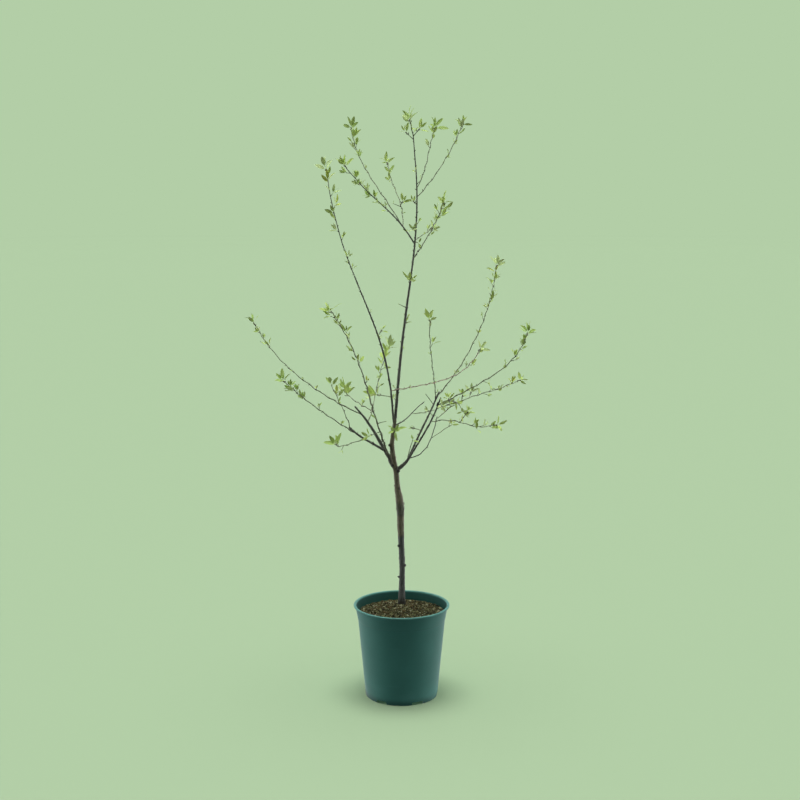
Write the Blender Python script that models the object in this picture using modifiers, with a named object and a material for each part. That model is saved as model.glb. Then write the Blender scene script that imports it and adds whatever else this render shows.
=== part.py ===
"""A young plum tree with an open, nearly bare crown, planted in its round nursery pot.

Metres, +Z up. The origin is the middle of the pot's underside, on the pad under its floor.
The front, which faces -Y, shows the crown at its widest.

The tree is a trunk that forks into a leader and three boughs, with a shoot on each. Every limb
is one tapering tube whose middle line is worked out from where it leaves its parent, how far it
reaches, and how much it bows and sways on the way. The leafy end of each shoot is a closed,
uneven solid of its own.
"""

import math
import random
from collections import namedtuple

import bmesh
import bpy
from mathutils import Vector

COLLECTION = "potted_plum_tree"
CUTTERS = "cutters"

# Clearance between pieces that touch, and the distance under which points are one
GAP = 0.0003
WELD = 0.000002

# Pot: a thin tapered shell under a collar and a rolled rim
POT_HEIGHT = 0.236
BASE_RADIUS = 0.0920
BODY_TOP_RADIUS = 0.1104
COLLAR_FOOT_RADIUS = 0.1116
COLLAR_TOP_RADIUS = 0.1170
COLLAR_FOOT = 0.1985
SHOULDER_RISE = 0.0026
RIM_RADIUS = 0.1216
RIM_DEPTH = 0.0056
WALL = 0.0020
FLOOR_UNDERSIDE = 0.0080
PAD_RADIUS = 0.0200
PAD_TAPER = 0.0020
LATHE_STEPS = 48

# Drainage notches round the bottom edge
NOTCHES = 6
NOTCH_HEIGHT = 0.0120
NOTCH_ANGLE = math.radians(20)
NOTCH_FIRST = math.radians(-64)
NOTCH_INNER_RADIUS = 0.0800

# Potting mix: a low mound below the rim
MIX_EDGE = 0.2140
MIX_TOP = 0.2272
MIX_STEPS = 3

# Trunk: its line from the mix to the fork, and its radius at each of those points
TRUNK_LINE = (
    (0.0004, 0.0400, 0.2256),
    (0.0007, 0.0400, 0.2620),
    (0.0014, 0.0400, 0.3000),
    (0.0013, 0.0390, 0.3400),
    (-0.0006, 0.0380, 0.3800),
    (-0.0022, 0.0370, 0.4200),
    (-0.0028, 0.0360, 0.4600),
    (-0.0047, 0.0350, 0.4940),
    (-0.0106, 0.0330, 0.5300),
    (-0.0136, 0.0310, 0.5700),
    (-0.0216, 0.0280, 0.6100),
    (-0.0240, 0.0255, 0.6500),
    (-0.0172, 0.0220, 0.6950),
)
TRUNK_RADII = (
    0.0100, 0.0080, 0.0073, 0.0071, 0.0076, 0.0085,
    0.0091, 0.0103, 0.0074, 0.0068, 0.0066, 0.0056, 0.0044,
)

# Leafy ends: how thick they are along the shoot and at its tip, and how far leaves pass the tip
SPRAY_RADIUS = 0.0080
TUFT_RADIUS = 0.0160
TUFT_REACH = 0.0120
TUFT_FROM = 0.62
UNEVEN = 0.22
LEAF_SEED = 150

# How closely the limbs and leafy ends are faceted
TRUNK_RINGS = 22
RING_SPACING = 0.055
FEWEST_RINGS = 6
TRUNK_BEVEL = 3
BOUGH_BEVEL = 2
SHOOT_BEVEL = 1
BOUGH_RADIUS = 0.0024
LEAFY_RINGS = 7

# parent and at: the limb that carries this one, and the share of that limb's length
# reach: from the foot to the tip of the shoot; bow: sideways at mid-length
# sway: to one side low down and to the other side high up
# foot and tip: radii; leafy: the share of the length where leaves begin, None on a bare bough
# tuft: size of the leaf tuft at the tip, against TUFT_RADIUS
Limb = namedtuple("Limb", "parent at reach bow sway foot tip leafy tuft")

LIMBS = {
    "leader": Limb("trunk", 1.0, (0.036, 0.013, 0.762), (0.024, 0, 0), (-0.010, 0, 0),
                   0.0041, 0.0010, 0.93, 1.0),
    "tall_left_bough": Limb("trunk", 0.970, (-0.163, -0.092, 0.653), (0.010, 0, 0),
                            (0.015, 0, 0.003), 0.0030, 0.0008, 0.72, 1.3),
    "left_bough": Limb("trunk", 0.781, (-0.101, 0.005, 0.153), (0.005, 0, 0),
                       (-0.001, 0, -0.002), 0.0060, 0.0019, None, 0),
    "left_far_shoot": Limb("left_bough", 0.859, (-0.281, 0.087, 0.232), (-0.022, 0, -0.025),
                           (0.003, 0, 0), 0.0019, 0.0008, 0.62, 0.9),
    "left_lower_bough": Limb("left_bough", 0.27, (-0.088, -0.077, 0.074), (-0.001, 0, -0.003),
                             (0.001, 0, 0.001), 0.0031, 0.0023, None, 0),
    "left_low_shoot": Limb("left_lower_bough", 0.73, (-0.175, -0.141, 0.158),
                           (-0.005, 0, -0.004), (0.001, 0, 0), 0.0018, 0.0008, 0.52, 1.3),
    "left_front_shoot": Limb("left_bough", 0.19, (-0.134, -0.277, 0.397), (0.013, 0.005, 0.006),
                             (-0.005, 0, -0.002), 0.0028, 0.0008, 0.50, 1.2),
    "left_back_shoot": Limb("left_bough", 0.71, (0.053, 0.248, 0.173), (-0.005, 0.002, -0.001),
                            (0.002, 0, 0), 0.0017, 0.0008, 0.52, 1.1),
    "left_middle_shoot": Limb("left_front_shoot", 0.308, (-0.081, 0.154, 0.042),
                              (-0.006, 0, -0.007), (0.002, 0, 0.001), 0.0014, 0.0008, 0.50, 1.1),
    "left_inner_shoot": Limb("left_lower_bough", 0.96, (-0.047, -0.052, 0.126), (0.001, 0, 0),
                             (0.001, 0, 0.001), 0.0014, 0.0008, 0.52, 1.0),
    "left_bottom_shoot": Limb("left_lower_bough", 0.557, (-0.077, -0.105, 0.008),
                              (-0.002, 0, -0.008), (0, 0.001, 0.003), 0.0014, 0.0008, 0.58, 1.1),
    "right_bough": Limb("trunk", 0.752, (0.034, -0.016, 0.042), (-0.001, 0, -0.003),
                        (-0.001, 0, 0.001), 0.0056, 0.0034, None, 0),
    "right_upper_bough": Limb("right_bough", 0.866, (0.079, 0.036, 0.168), (0, 0, 0),
                              (-0.001, 0, 0), 0.0027, 0.0020, None, 0),
    "right_tall_shoot": Limb("right_upper_bough", 0.934, (0.153, 0.112, 0.333),
                             (0.029, 0, -0.012), (-0.002, 0, -0.003), 0.0018, 0.0008, 0.55, 1.1),
    "right_upright_shoot": Limb("right_upper_bough", 0.90, (-0.019, -0.098, 0.205),
                                (-0.004, 0.001, 0), (0.001, 0, 0), 0.0015, 0.0008, 0.45, 1.0),
    "right_lower_bough": Limb("right_bough", 0.881, (0.080, -0.044, 0.163), (0.005, 0, -0.002),
                              (-0.001, 0, 0), 0.0026, 0.0018, None, 0),
    "right_wide_shoot": Limb("right_lower_bough", 0.885, (0.210, -0.105, 0.195),
                             (0.023, 0, -0.019), (-0.006, 0, 0.003), 0.0020, 0.0008, 0.62, 1.2),
    "right_back_bough": Limb("right_bough", 0.895, (0.074, 0.076, 0.096), (0.017, 0, -0.012),
                             (0.002, 0, -0.004), 0.0018, 0.0013, None, 0),
    "right_back_shoot": Limb("right_back_bough", 0.955, (0.229, 0.134, 0.084),
                             (-0.006, 0.001, 0.010), (-0.002, 0, 0.005), 0.0014, 0.0008, 0.42, 1.1),
    "right_little_shoot": Limb("right_back_bough", 0.578, (0.058, 0.062, 0.027), (0, 0, 0),
                               (0, 0, 0), 0.0012, 0.0008, 0.50, 0.7),
    "right_low_shoot": Limb("right_lower_bough", 0.62, (0.159, -0.157, 0.021), (0.002, 0, -0.001),
                            (-0.001, 0.001, 0.007), 0.0014, 0.0008, 0.42, 1.1),
    "front_cross_shoot": Limb("tall_left_bough", 0.150, (0.206, -0.267, 0.135),
                              (0.022, 0.002, -0.025), (-0.004, 0.001, 0.004),
                              0.0015, 0.0008, 0.60, 1.1),
    "middle_right_bough": Limb("trunk", 0.990, (0.076, 0.068, 0.050), (0.002, -0.003, -0.003),
                               (0.001, -0.001, -0.002), 0.0018, 0.0010, None, 0),
    "middle_back_shoot": Limb("middle_right_bough", 0.543, (0.103, 0.113, 0.007), (0, 0, -0.005),
                              (0, 0, -0.001), 0.0012, 0.0008, 0.60, 0.8),
    "upper_right_shoot": Limb("leader", 0.543, (0.072, -0.179, 0.141), (0.005, 0.001, -0.003),
                              (0, 0, 0), 0.0018, 0.0008, 0.35, 1.0),
    "upper_back_shoot": Limb("leader", 0.600, (0.045, 0.090, 0.031), (-0.002, -0.001, -0.003),
                             (-0.002, -0.001, 0), 0.0013, 0.0008, 0.40, 1.0),
    "top_right_shoot": Limb("leader", 0.767, (0.043, -0.152, 0.144), (0.003, 0.003, -0.001),
                            (0.002, 0.001, -0.001), 0.0013, 0.0008, 0.45, 1.1),
    "top_far_right_shoot": Limb("leader", 0.739, (0.118, 0.078, 0.188), (0.009, 0, -0.006),
                                (0, -0.001, -0.001), 0.0014, 0.0008, 0.52, 0.9),
    "top_left_bough": Limb("leader", 0.588, (-0.170, -0.130, 0.194), (0.002, 0.002, 0.001),
                           (0.004, 0, 0.003), 0.0019, 0.0008, 0.50, 1.2),
    "top_left_high_shoot": Limb("top_left_bough", 0.180, (-0.135, 0.122, 0.258),
                                (-0.014, 0, -0.008), (0.005, 0, 0.001), 0.0015, 0.0008, 0.66, 1.1),
    "top_left_inner_shoot": Limb("top_left_bough", 0.205, (-0.041, 0.193, 0.165), (0.005, 0, 0),
                                 (0.004, -0.001, 0.001), 0.0013, 0.0008, 0.42, 1.1),
}

# Colour in linear light, roughness and metallic value of each material
POT_GREEN = ((0.016, 0.060, 0.050), 0.42, 0.0)
MIX_BROWN = ((0.062, 0.058, 0.034), 0.95, 0.0)
TRUNK_BARK = ((0.070, 0.062, 0.047), 0.70, 0.0)
BOUGH_BARK = ((0.052, 0.050, 0.040), 0.65, 0.0)
SHOOT_BARK = ((0.060, 0.066, 0.040), 0.60, 0.0)
LEAF_GREEN = ((0.300, 0.430, 0.085), 0.60, 0.0)


def clear_scene():
    """Remove whatever the scene holds."""
    for obj in list(bpy.data.objects):
        bpy.data.objects.remove(obj)


def new_collection(name):
    collection = bpy.data.collections.new(name)
    bpy.context.scene.collection.children.link(collection)
    return collection


def new_material(name, look):
    """A Principled material with the colour, roughness and metallic value of a look."""
    colour, roughness, metallic = look
    material = bpy.data.materials.new(name)
    material.use_nodes = True
    shader = material.node_tree.nodes["Principled BSDF"]
    shader.inputs["Base Color"].default_value = (*colour, 1.0)
    shader.inputs["Roughness"].default_value = roughness
    shader.inputs["Metallic"].default_value = metallic
    return material


def place(name, mesh, collection, location=(0, 0, 0), look=None, parent=None):
    """An object of the mesh, at a place measured from its parent's."""
    obj = bpy.data.objects.new(name, mesh)
    collection.objects.link(obj)
    obj.location = location
    obj.parent = parent
    if look:
        mesh.materials.append(new_material(name + "_material", look))
    return obj


def place_cutter(name, mesh, collection, location=(0, 0, 0), turn=0.0):
    """A helper that only cuts: drawn as wires and left out of renders."""
    cutter = place(name, mesh, collection, location)
    cutter.rotation_euler.z = turn
    cutter.hide_render = True
    cutter.display_type = "WIRE"
    return cutter


def cut(obj, cutter):
    """Take the cutter's shape away from the object."""
    boolean = obj.modifiers.new("cut_by_" + cutter.name, "BOOLEAN")
    boolean.operation = "DIFFERENCE"
    boolean.solver = "EXACT"
    boolean.object = cutter


def lathe(name, profile, collection, look, parent=None):
    """A turned solid. The profile runs down its outer side, from the axis to the axis."""
    mesh = bpy.data.meshes.new(name)
    bm = bmesh.new()
    points = [bm.verts.new((radius, 0, height)) for radius, height in profile]
    for start, end in zip(points, points[1:]):
        bm.edges.new((start, end))
    bm.to_mesh(mesh)
    bm.free()
    obj = place(name, mesh, collection, look=look, parent=parent)
    screw = obj.modifiers.new("lathe", "SCREW")
    screw.axis = "Z"
    screw.angle = math.tau
    screw.steps = screw.render_steps = LATHE_STEPS
    screw.use_merge_vertices = True
    screw.merge_threshold = 0.00001
    return obj


def wall_radius(height):
    """Outer radius of the pot's wall below its rim."""
    shoulder = COLLAR_FOOT + SHOULDER_RISE
    if height >= shoulder:
        share = (height - shoulder) / (POT_HEIGHT - shoulder)
        return COLLAR_FOOT_RADIUS + share * (COLLAR_TOP_RADIUS - COLLAR_FOOT_RADIUS)
    if height > COLLAR_FOOT:
        share = (height - COLLAR_FOOT) / SHOULDER_RISE
        return BODY_TOP_RADIUS + share * (COLLAR_FOOT_RADIUS - BODY_TOP_RADIUS)
    return BASE_RADIUS + height / COLLAR_FOOT * (BODY_TOP_RADIUS - BASE_RADIUS)


def wall_heights(low, high):
    """The heights where the wall turns, between low and high, with both ends, from the top."""
    turns = (COLLAR_FOOT + SHOULDER_RISE, COLLAR_FOOT)
    return [high] + [height for height in turns if low < height < high] + [low]


def make_pot(collection, cutters):
    """The pot: a turned shell with a rolled rim, and notches round its foot."""
    floor = FLOOR_UNDERSIDE + WALL
    lip_foot = POT_HEIGHT - RIM_DEPTH
    inside = [(wall_radius(z) - WALL, z) for z in reversed(wall_heights(floor, lip_foot))]
    lip_radius = COLLAR_TOP_RADIUS - WALL
    lip_middle = (lip_radius + RIM_RADIUS) / 2
    rim = [
        (lip_radius, POT_HEIGHT - WALL),
        (lip_middle, POT_HEIGHT),
        (RIM_RADIUS - WALL / 2, POT_HEIGHT - WALL / 2),
        (RIM_RADIUS, POT_HEIGHT - RIM_DEPTH / 2),
        (RIM_RADIUS - WALL / 2, lip_foot + WALL / 4),
        (COLLAR_TOP_RADIUS + WALL / 2, lip_foot),
    ]
    outside = [(wall_radius(z), z) for z in wall_heights(0, lip_foot - WALL)]
    underside = [
        (BASE_RADIUS - WALL, 0),
        (wall_radius(FLOOR_UNDERSIDE) - WALL, FLOOR_UNDERSIDE),
        (PAD_RADIUS + PAD_TAPER, FLOOR_UNDERSIDE),
        (PAD_RADIUS, 0),
        (0, 0),
    ]
    pot = lathe("pot", [(0, floor)] + inside + rim + outside + underside, collection, POT_GREEN)
    for index in range(NOTCHES):
        turn = NOTCH_FIRST + index * math.tau / NOTCHES
        cut(pot, notch_cutter(f"notch_{index + 1}", turn, cutters))
    return pot


def notch_cutter(name, turn, cutters):
    """A block that takes the wall and the floor's edge away at one drainage notch."""
    depth = 2 * (BASE_RADIUS - NOTCH_INNER_RADIUS)
    width = 2 * BASE_RADIUS * math.sin(NOTCH_ANGLE / 2)
    mesh = bpy.data.meshes.new(name)
    bm = bmesh.new()
    bmesh.ops.create_cube(bm, size=1.0)
    bmesh.ops.scale(bm, vec=(depth, width, 2 * NOTCH_HEIGHT), verts=bm.verts)
    bm.to_mesh(mesh)
    bm.free()
    middle = (BASE_RADIUS * math.cos(turn), BASE_RADIUS * math.sin(turn), 0)
    return place_cutter(name, mesh, cutters, middle, turn)


def make_mix(collection, pot):
    """The potting mix: a plug that fills the pot and rises in a low mound."""
    bottom = FLOOR_UNDERSIDE + WALL + GAP
    edge_radius = wall_radius(MIX_EDGE) - WALL - GAP
    mound = []
    for step in range(MIX_STEPS + 1):
        share = step / MIX_STEPS
        rise = (MIX_TOP - MIX_EDGE) * (math.cos(math.pi * share) + 1) / 2
        mound.append((share * edge_radius, MIX_EDGE + rise))
    side = [(wall_radius(z) - WALL - GAP, z) for z in wall_heights(bottom, MIX_EDGE)[1:]]
    return lathe("potting_mix", mound + side + [(0, bottom)], collection, MIX_BROWN, pot)


def smooth_value(values, share):
    """A value on the smooth curve through evenly counted ones, by Catmull and Rom's rule."""
    last = len(values) - 1
    index = min(int(share * last), last - 1)
    t = share * last - index
    before, start, end, after = (
        values[min(max(index + step, 0), last)] for step in (-1, 0, 1, 2)
    )
    bend = 2 * before - 5 * start + 4 * end - after
    twist = 3 * (start - end) + after - before
    return start + t * (end - before) / 2 + t * t * bend / 2 + t * t * t * twist / 2


def middle_of(name, share):
    """The point on a limb's middle line at a share of its length."""
    if name == "trunk":
        return smooth_value([Vector(point) for point in TRUNK_LINE], share)
    limb = LIMBS[name]
    arch = 4 * share * (1 - share)
    wave = math.sin(math.tau * share)
    foot = middle_of(limb.parent, limb.at)
    return foot + share * Vector(limb.reach) + arch * Vector(limb.bow) + wave * Vector(limb.sway)


def radius_of(name, share):
    if name == "trunk":
        return smooth_value(TRUNK_RADII, share)
    limb = LIMBS[name]
    return limb.foot + share * (limb.tip - limb.foot)


def leafy_from(name):
    """The share of a limb's length where its bare wood ends."""
    if name == "trunk" or LIMBS[name].leafy is None:
        return 1.0
    return LIMBS[name].leafy


def ring_count(name):
    if name == "trunk":
        return TRUNK_RINGS
    length = Vector(LIMBS[name].reach).length * leafy_from(name)
    return max(FEWEST_RINGS, round(length / RING_SPACING) + 1)


def bevel_of(name):
    if name == "trunk":
        return TRUNK_BEVEL
    return BOUGH_BEVEL if LIMBS[name].foot > BOUGH_RADIUS else SHOOT_BEVEL


def tube_mesh(name, points, radii, bevel):
    """A closed tube along the points, made as a curve and welded to its caps."""
    curve = bpy.data.curves.new(name, "CURVE")
    curve.dimensions = "3D"
    curve.bevel_depth = 1.0
    curve.bevel_resolution = bevel
    curve.use_fill_caps = True
    spline = curve.splines.new("POLY")
    spline.points.add(len(points) - 1)
    for knot, point, radius in zip(spline.points, points, radii):
        knot.co = (*point, 1.0)
        knot.radius = radius
    holder = bpy.data.objects.new(name, curve)
    bpy.context.scene.collection.objects.link(holder)
    graph = bpy.context.evaluated_depsgraph_get()
    mesh = bpy.data.meshes.new_from_object(holder.evaluated_get(graph))
    bpy.data.objects.remove(holder)
    bpy.data.curves.remove(curve)
    bm = bmesh.new()
    bm.from_mesh(mesh)
    bmesh.ops.remove_doubles(bm, verts=bm.verts, dist=WELD)
    bmesh.ops.recalc_face_normals(bm, faces=bm.faces)
    bm.to_mesh(mesh)
    bm.free()
    mesh.name = name
    mesh.shade_smooth()
    return mesh


def limb_mesh(mesh_name, name, grow):
    """A limb's tube, measured from its foot. Grow makes it fatter and longer all round."""
    rings = ring_count(name)
    foot = middle_of(name, 0)
    shares = [leafy_from(name) * index / (rings - 1) for index in range(rings)]
    points = [middle_of(name, share) - foot for share in shares]
    radii = [radius_of(name, share) + grow for share in shares]
    points[0] -= grow * (points[1] - points[0]).normalized()
    points[-1] += grow * (points[-1] - points[-2]).normalized()
    return tube_mesh(mesh_name, points, radii, bevel_of(name))


def boxes_meet(one, other, margin=0.002):
    """Whether the boxes round two sets of points come within the margin of each other."""
    for axis in range(3):
        low = max(min(p[axis] for p in one), min(p[axis] for p in other))
        high = min(max(p[axis] for p in one), max(p[axis] for p in other))
        if low > high + margin:
            return False
    return True


def outline(obj, foot):
    """The object's points, measured from the origin."""
    return [foot + vertex.co for vertex in obj.data.vertices]


def make_limbs(collection, cutters, pot):
    """Trunk, boughs and bare shoots, each cut back where it meets the limbs before it."""
    limbs, shapes, grown = {}, {}, {}
    for name in ["trunk", *LIMBS]:
        foot = middle_of(name, 0)
        parent = limbs[LIMBS[name].parent] if name != "trunk" else pot
        parent_foot = middle_of(LIMBS[name].parent, 0) if name != "trunk" else Vector()
        look = TRUNK_BARK if name == "trunk" else BOUGH_BARK
        if bevel_of(name) == SHOOT_BEVEL:
            look = SHOOT_BARK
        limb = place(name, limb_mesh(name, name, 0), collection, foot - parent_foot, look, parent)
        shape = outline(limb, foot)
        for other, other_shape in shapes.items():
            if boxes_meet(shape, other_shape):
                cut(limb, grown[other])
        limbs[name] = limb
        shapes[name] = shape
        fatter = limb_mesh(name + "_socket", name, GAP)
        grown[name] = place_cutter(name + "_socket", fatter, cutters, foot)
    return limbs, shapes, grown


def leafy_mesh(name, limb_name, dice):
    """The closed, uneven solid round a shoot's leafy end, measured from where the wood ends."""
    limb = LIMBS[limb_name]
    start = middle_of(limb_name, limb.leafy)
    ahead = (middle_of(limb_name, 1) - middle_of(limb_name, 0.97)).normalized()
    points, radii = [], []
    for index in range(LEAFY_RINGS):
        share = index / (LEAFY_RINGS - 1)
        point = middle_of(limb_name, limb.leafy + share * (1 - limb.leafy))
        fullness = min(max((share - TUFT_FROM) / (1 - TUFT_FROM), 0), 1)
        tuft = TUFT_RADIUS * limb.tuft
        lump = 1 + UNEVEN * dice.uniform(-1, 1)
        points.append(point - start)
        radii.append(lump * (SPRAY_RADIUS + fullness * (tuft - SPRAY_RADIUS)))
    points[0] += GAP * (points[1] - points[0]).normalized()
    radii[0] = 1.4 * radius_of(limb_name, limb.leafy)
    radii[-1] *= 0.9
    points.append(points[-1] + ahead * TUFT_REACH * limb.tuft)
    radii.append(radii[-1] * 0.45)
    mesh = tube_mesh(name, points, radii, BOUGH_BEVEL)
    return roughened(mesh, points, dice)


def roughened(mesh, points, dice):
    """Push the solid's points in and out, all but those of its first, flat end."""
    rest = [vertex for vertex in mesh.vertices if (vertex.co - points[0]).length > SPRAY_RADIUS / 2]
    for vertex in rest:
        nearest = min(points, key=lambda point: (vertex.co - point).length)
        vertex.co += (vertex.co - nearest) * UNEVEN * dice.uniform(-1, 1)
    return mesh


def make_leafy_ends(collection, limbs, shapes, grown):
    """One solid for the leaves on each shoot, clear of every limb that passes it."""
    for index, name in enumerate(name for name in LIMBS if LIMBS[name].leafy is not None):
        limb = LIMBS[name]
        node = name.rsplit("_", 1)[0] + "_leaves" if "_" in name else name + "_leaves"
        dice = random.Random(LEAF_SEED + index)
        start = middle_of(name, limb.leafy)
        mesh = leafy_mesh(node, name, dice)
        place_from_limb = start - middle_of(name, 0)
        leaves = place(node, mesh, collection, place_from_limb, LEAF_GREEN, limbs[name])
        shape = outline(leaves, start)
        for other, other_shape in shapes.items():
            if other != name and boxes_meet(shape, other_shape):
                cut(leaves, grown[other])


def main():
    clear_scene()
    collection = new_collection(COLLECTION)
    cutters = new_collection(CUTTERS)
    pot = make_pot(collection, cutters)
    mix = make_mix(collection, pot)
    limbs, shapes, grown = make_limbs(collection, cutters, pot)
    cut(mix, grown["trunk"])
    make_leafy_ends(collection, limbs, shapes, grown)


main()
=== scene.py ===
"""The looks of a young plum tree in its nursery pot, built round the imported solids.

It is laid out as an add-on: each operator makes one piece or one group of like pieces, and
main runs them in order. Metres, +Z up. The front, which shows the crown at its widest, faces -Y.

The limbs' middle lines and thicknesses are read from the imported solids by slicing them. Bark,
side twigs, spurs, buds and leaves grow on from those lines by rules seeded with a limb's name.
"""

import bisect
import functools
import math
import random
from collections import namedtuple

import bmesh
import bpy
from bpy.props import FloatProperty, FloatVectorProperty, IntProperty, PointerProperty
from mathutils import Matrix, Vector, kdtree, noise


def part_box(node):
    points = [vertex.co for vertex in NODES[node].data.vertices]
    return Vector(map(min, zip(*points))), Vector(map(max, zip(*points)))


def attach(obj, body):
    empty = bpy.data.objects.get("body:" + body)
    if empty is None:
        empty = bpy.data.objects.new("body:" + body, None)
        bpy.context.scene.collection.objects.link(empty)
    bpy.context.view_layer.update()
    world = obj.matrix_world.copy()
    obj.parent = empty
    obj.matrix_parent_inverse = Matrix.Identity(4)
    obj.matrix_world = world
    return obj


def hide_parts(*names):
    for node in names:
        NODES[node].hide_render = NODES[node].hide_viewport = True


bl_info = {
    "name": "Potted plum tree",
    "version": (1, 0, 0),
    "blender": (4, 5, 0),
    "location": "3D View > Sidebar > Plum Tree",
    "description": "Builds a young plum tree in its nursery pot round the packed solids",
    "category": "Object",
}

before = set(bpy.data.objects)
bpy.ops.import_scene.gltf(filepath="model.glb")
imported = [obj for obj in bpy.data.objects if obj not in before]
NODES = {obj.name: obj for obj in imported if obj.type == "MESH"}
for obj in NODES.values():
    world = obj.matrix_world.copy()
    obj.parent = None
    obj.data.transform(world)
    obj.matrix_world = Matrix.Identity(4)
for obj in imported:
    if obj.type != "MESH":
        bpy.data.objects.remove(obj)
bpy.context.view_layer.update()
BODY = "root"

POT_LOW, POT_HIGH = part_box("pot")
MIX_LOW, MIX_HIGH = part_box("potting_mix")

# Distances under which points are one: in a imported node, and along a new piece's seam
NODE_WELD = 0.00001
SEAM_WELD = 0.000005

LEAFY_NODES = sorted(name for name in NODES if name.endswith("_leaves"))
WOODY_NODES = sorted(set(NODES) - set(LEAFY_NODES) - {"pot", "potting_mix"})

# Slices across a limb, and the share of it left out at each end, where its caps lean
LIMB_SLICES = 14
LEAFY_SLICES = 6
SLICE_EDGE = 0.06
TRUNK_SLICES = 32
TRUNK_EDGE = 0.014

WOOD_TIP_RADIUS = 0.0008
SHOOT_SLIMMER = 0.80
SLIM_BOUGHS = {"right_back_bough": 0.75, "tall_left_bough": 0.90, "middle_right_bough": 0.90}
NEXT_POINT = 0.006
TRUNK_IN_MIX = 0.010
ROOT_FLARE = 0.0026
ROOT_FLARE_HEIGHT = 0.009

# How closely a limb's frames follow each other
LINE_STEP = 0.001

# Buds: from the foot to the first, from one to the next, and from the last to the tip
FIRST_BUD = 0.016
BUD_SPACING = 0.0155
LAST_BUD = 0.006
BUD_TURN = math.radians(144)
SHOOT_KINK = 0.0013

# Kinds of bark, from the trunk's to a blushing young shoot's
TRUNK, BOUGH, SHOOT, BLUSH = 0.0, 1.0, 2.0, 3.0
BLUSHING = ("front_cross_shoot",)

# Where each year's growth began: rings round the limb, as distances from its foot
YEAR_RINGS = {
    "trunk": (0.130, 0.262, 0.395),
    "leader": (0.192, 0.449),
    "tall_left_bough": (0.172,),
    "left_bough": (0.075,),
    "left_front_shoot": (0.118,),
    "left_far_shoot": (0.060,),
    "right_upper_bough": (0.090,),
    "right_lower_bough": (0.098,),
    "right_tall_shoot": (0.075,),
    "right_wide_shoot": (0.080,),
    "top_left_bough": (0.060,),
}

# The fork is one skin, which takes in this much of each limb that starts there
FORK = {
    "trunk": 1.0,
    "right_bough": 1.0,
    "leader": 0.045,
    "tall_left_bough": 0.045,
    "left_bough": 0.075,
    "left_lower_bough": 0.036,
    "left_front_shoot": 0.036,
    "right_upper_bough": 0.036,
    "right_lower_bough": 0.036,
    "right_back_bough": 0.026,
    "middle_right_bough": 0.024,
}
OVERLAP = 0.006
FORK_VOXEL = 0.0007
BOUGH_VOXEL = 0.0008

# A short stub of a lost twig: the limb, how far up it, the way it points, and its radius
Stub = namedtuple("Stub", "limb at reach radius")
STUBS = {
    "stub_low_left": Stub("trunk", 0.076, (-0.0112, -0.003, 0.006), 0.0012),
    "stub_low_right": Stub("trunk", 0.109, (0.0080, -0.004, 0.0030), 0.0024),
    "stub_dark": Stub("trunk", 0.162, (-0.0070, -0.0065, 0.002), 0.0026),
    "stub_back": Stub("trunk", 0.205, (0.003, 0.0125, 0.005), 0.0020),
    "stub_knee": Stub("trunk", 0.272, (0.0070, -0.002, 0.001), 0.0060),
    "stub_upper_left": Stub("trunk", 0.318, (-0.0080, 0.003, 0.0045), 0.0019),
    "stub_fork": Stub("trunk", 0.425, (-0.0070, -0.004, 0.004), 0.0024),
    "stub_left_collar": Stub("left_bough", 0.010, (-0.001, -0.0085, -0.001), 0.0024),
    "stub_right_collar": Stub("right_bough", 0.008, (0.002, -0.0095, 0.001), 0.0034),
    "stub_upper_end": Stub("right_upper_bough", 0.168, (-0.001, -0.003, 0.0075), 0.0019),
    "stub_lower_end": Stub("right_lower_bough", 0.158, (0.001, -0.004, 0.0090), 0.0024),
    "stub_left_knob": Stub("left_lower_bough", 0.046, (0.000, -0.0055, 0.0060), 0.0014),
}

DARK_KNOTS = (
    "stub_low_right",
    "stub_dark",
    "stub_fork",
    "stub_left_knob",
    "stub_upper_left",
    "stub_left_collar",
    "stub_right_collar",
    "stub_upper_end",
    "stub_lower_end",
)
PRUNED = (
    "left_bough",
    "left_lower_bough",
    "middle_right_bough",
    "right_upper_bough",
    "right_lower_bough",
)

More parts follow.
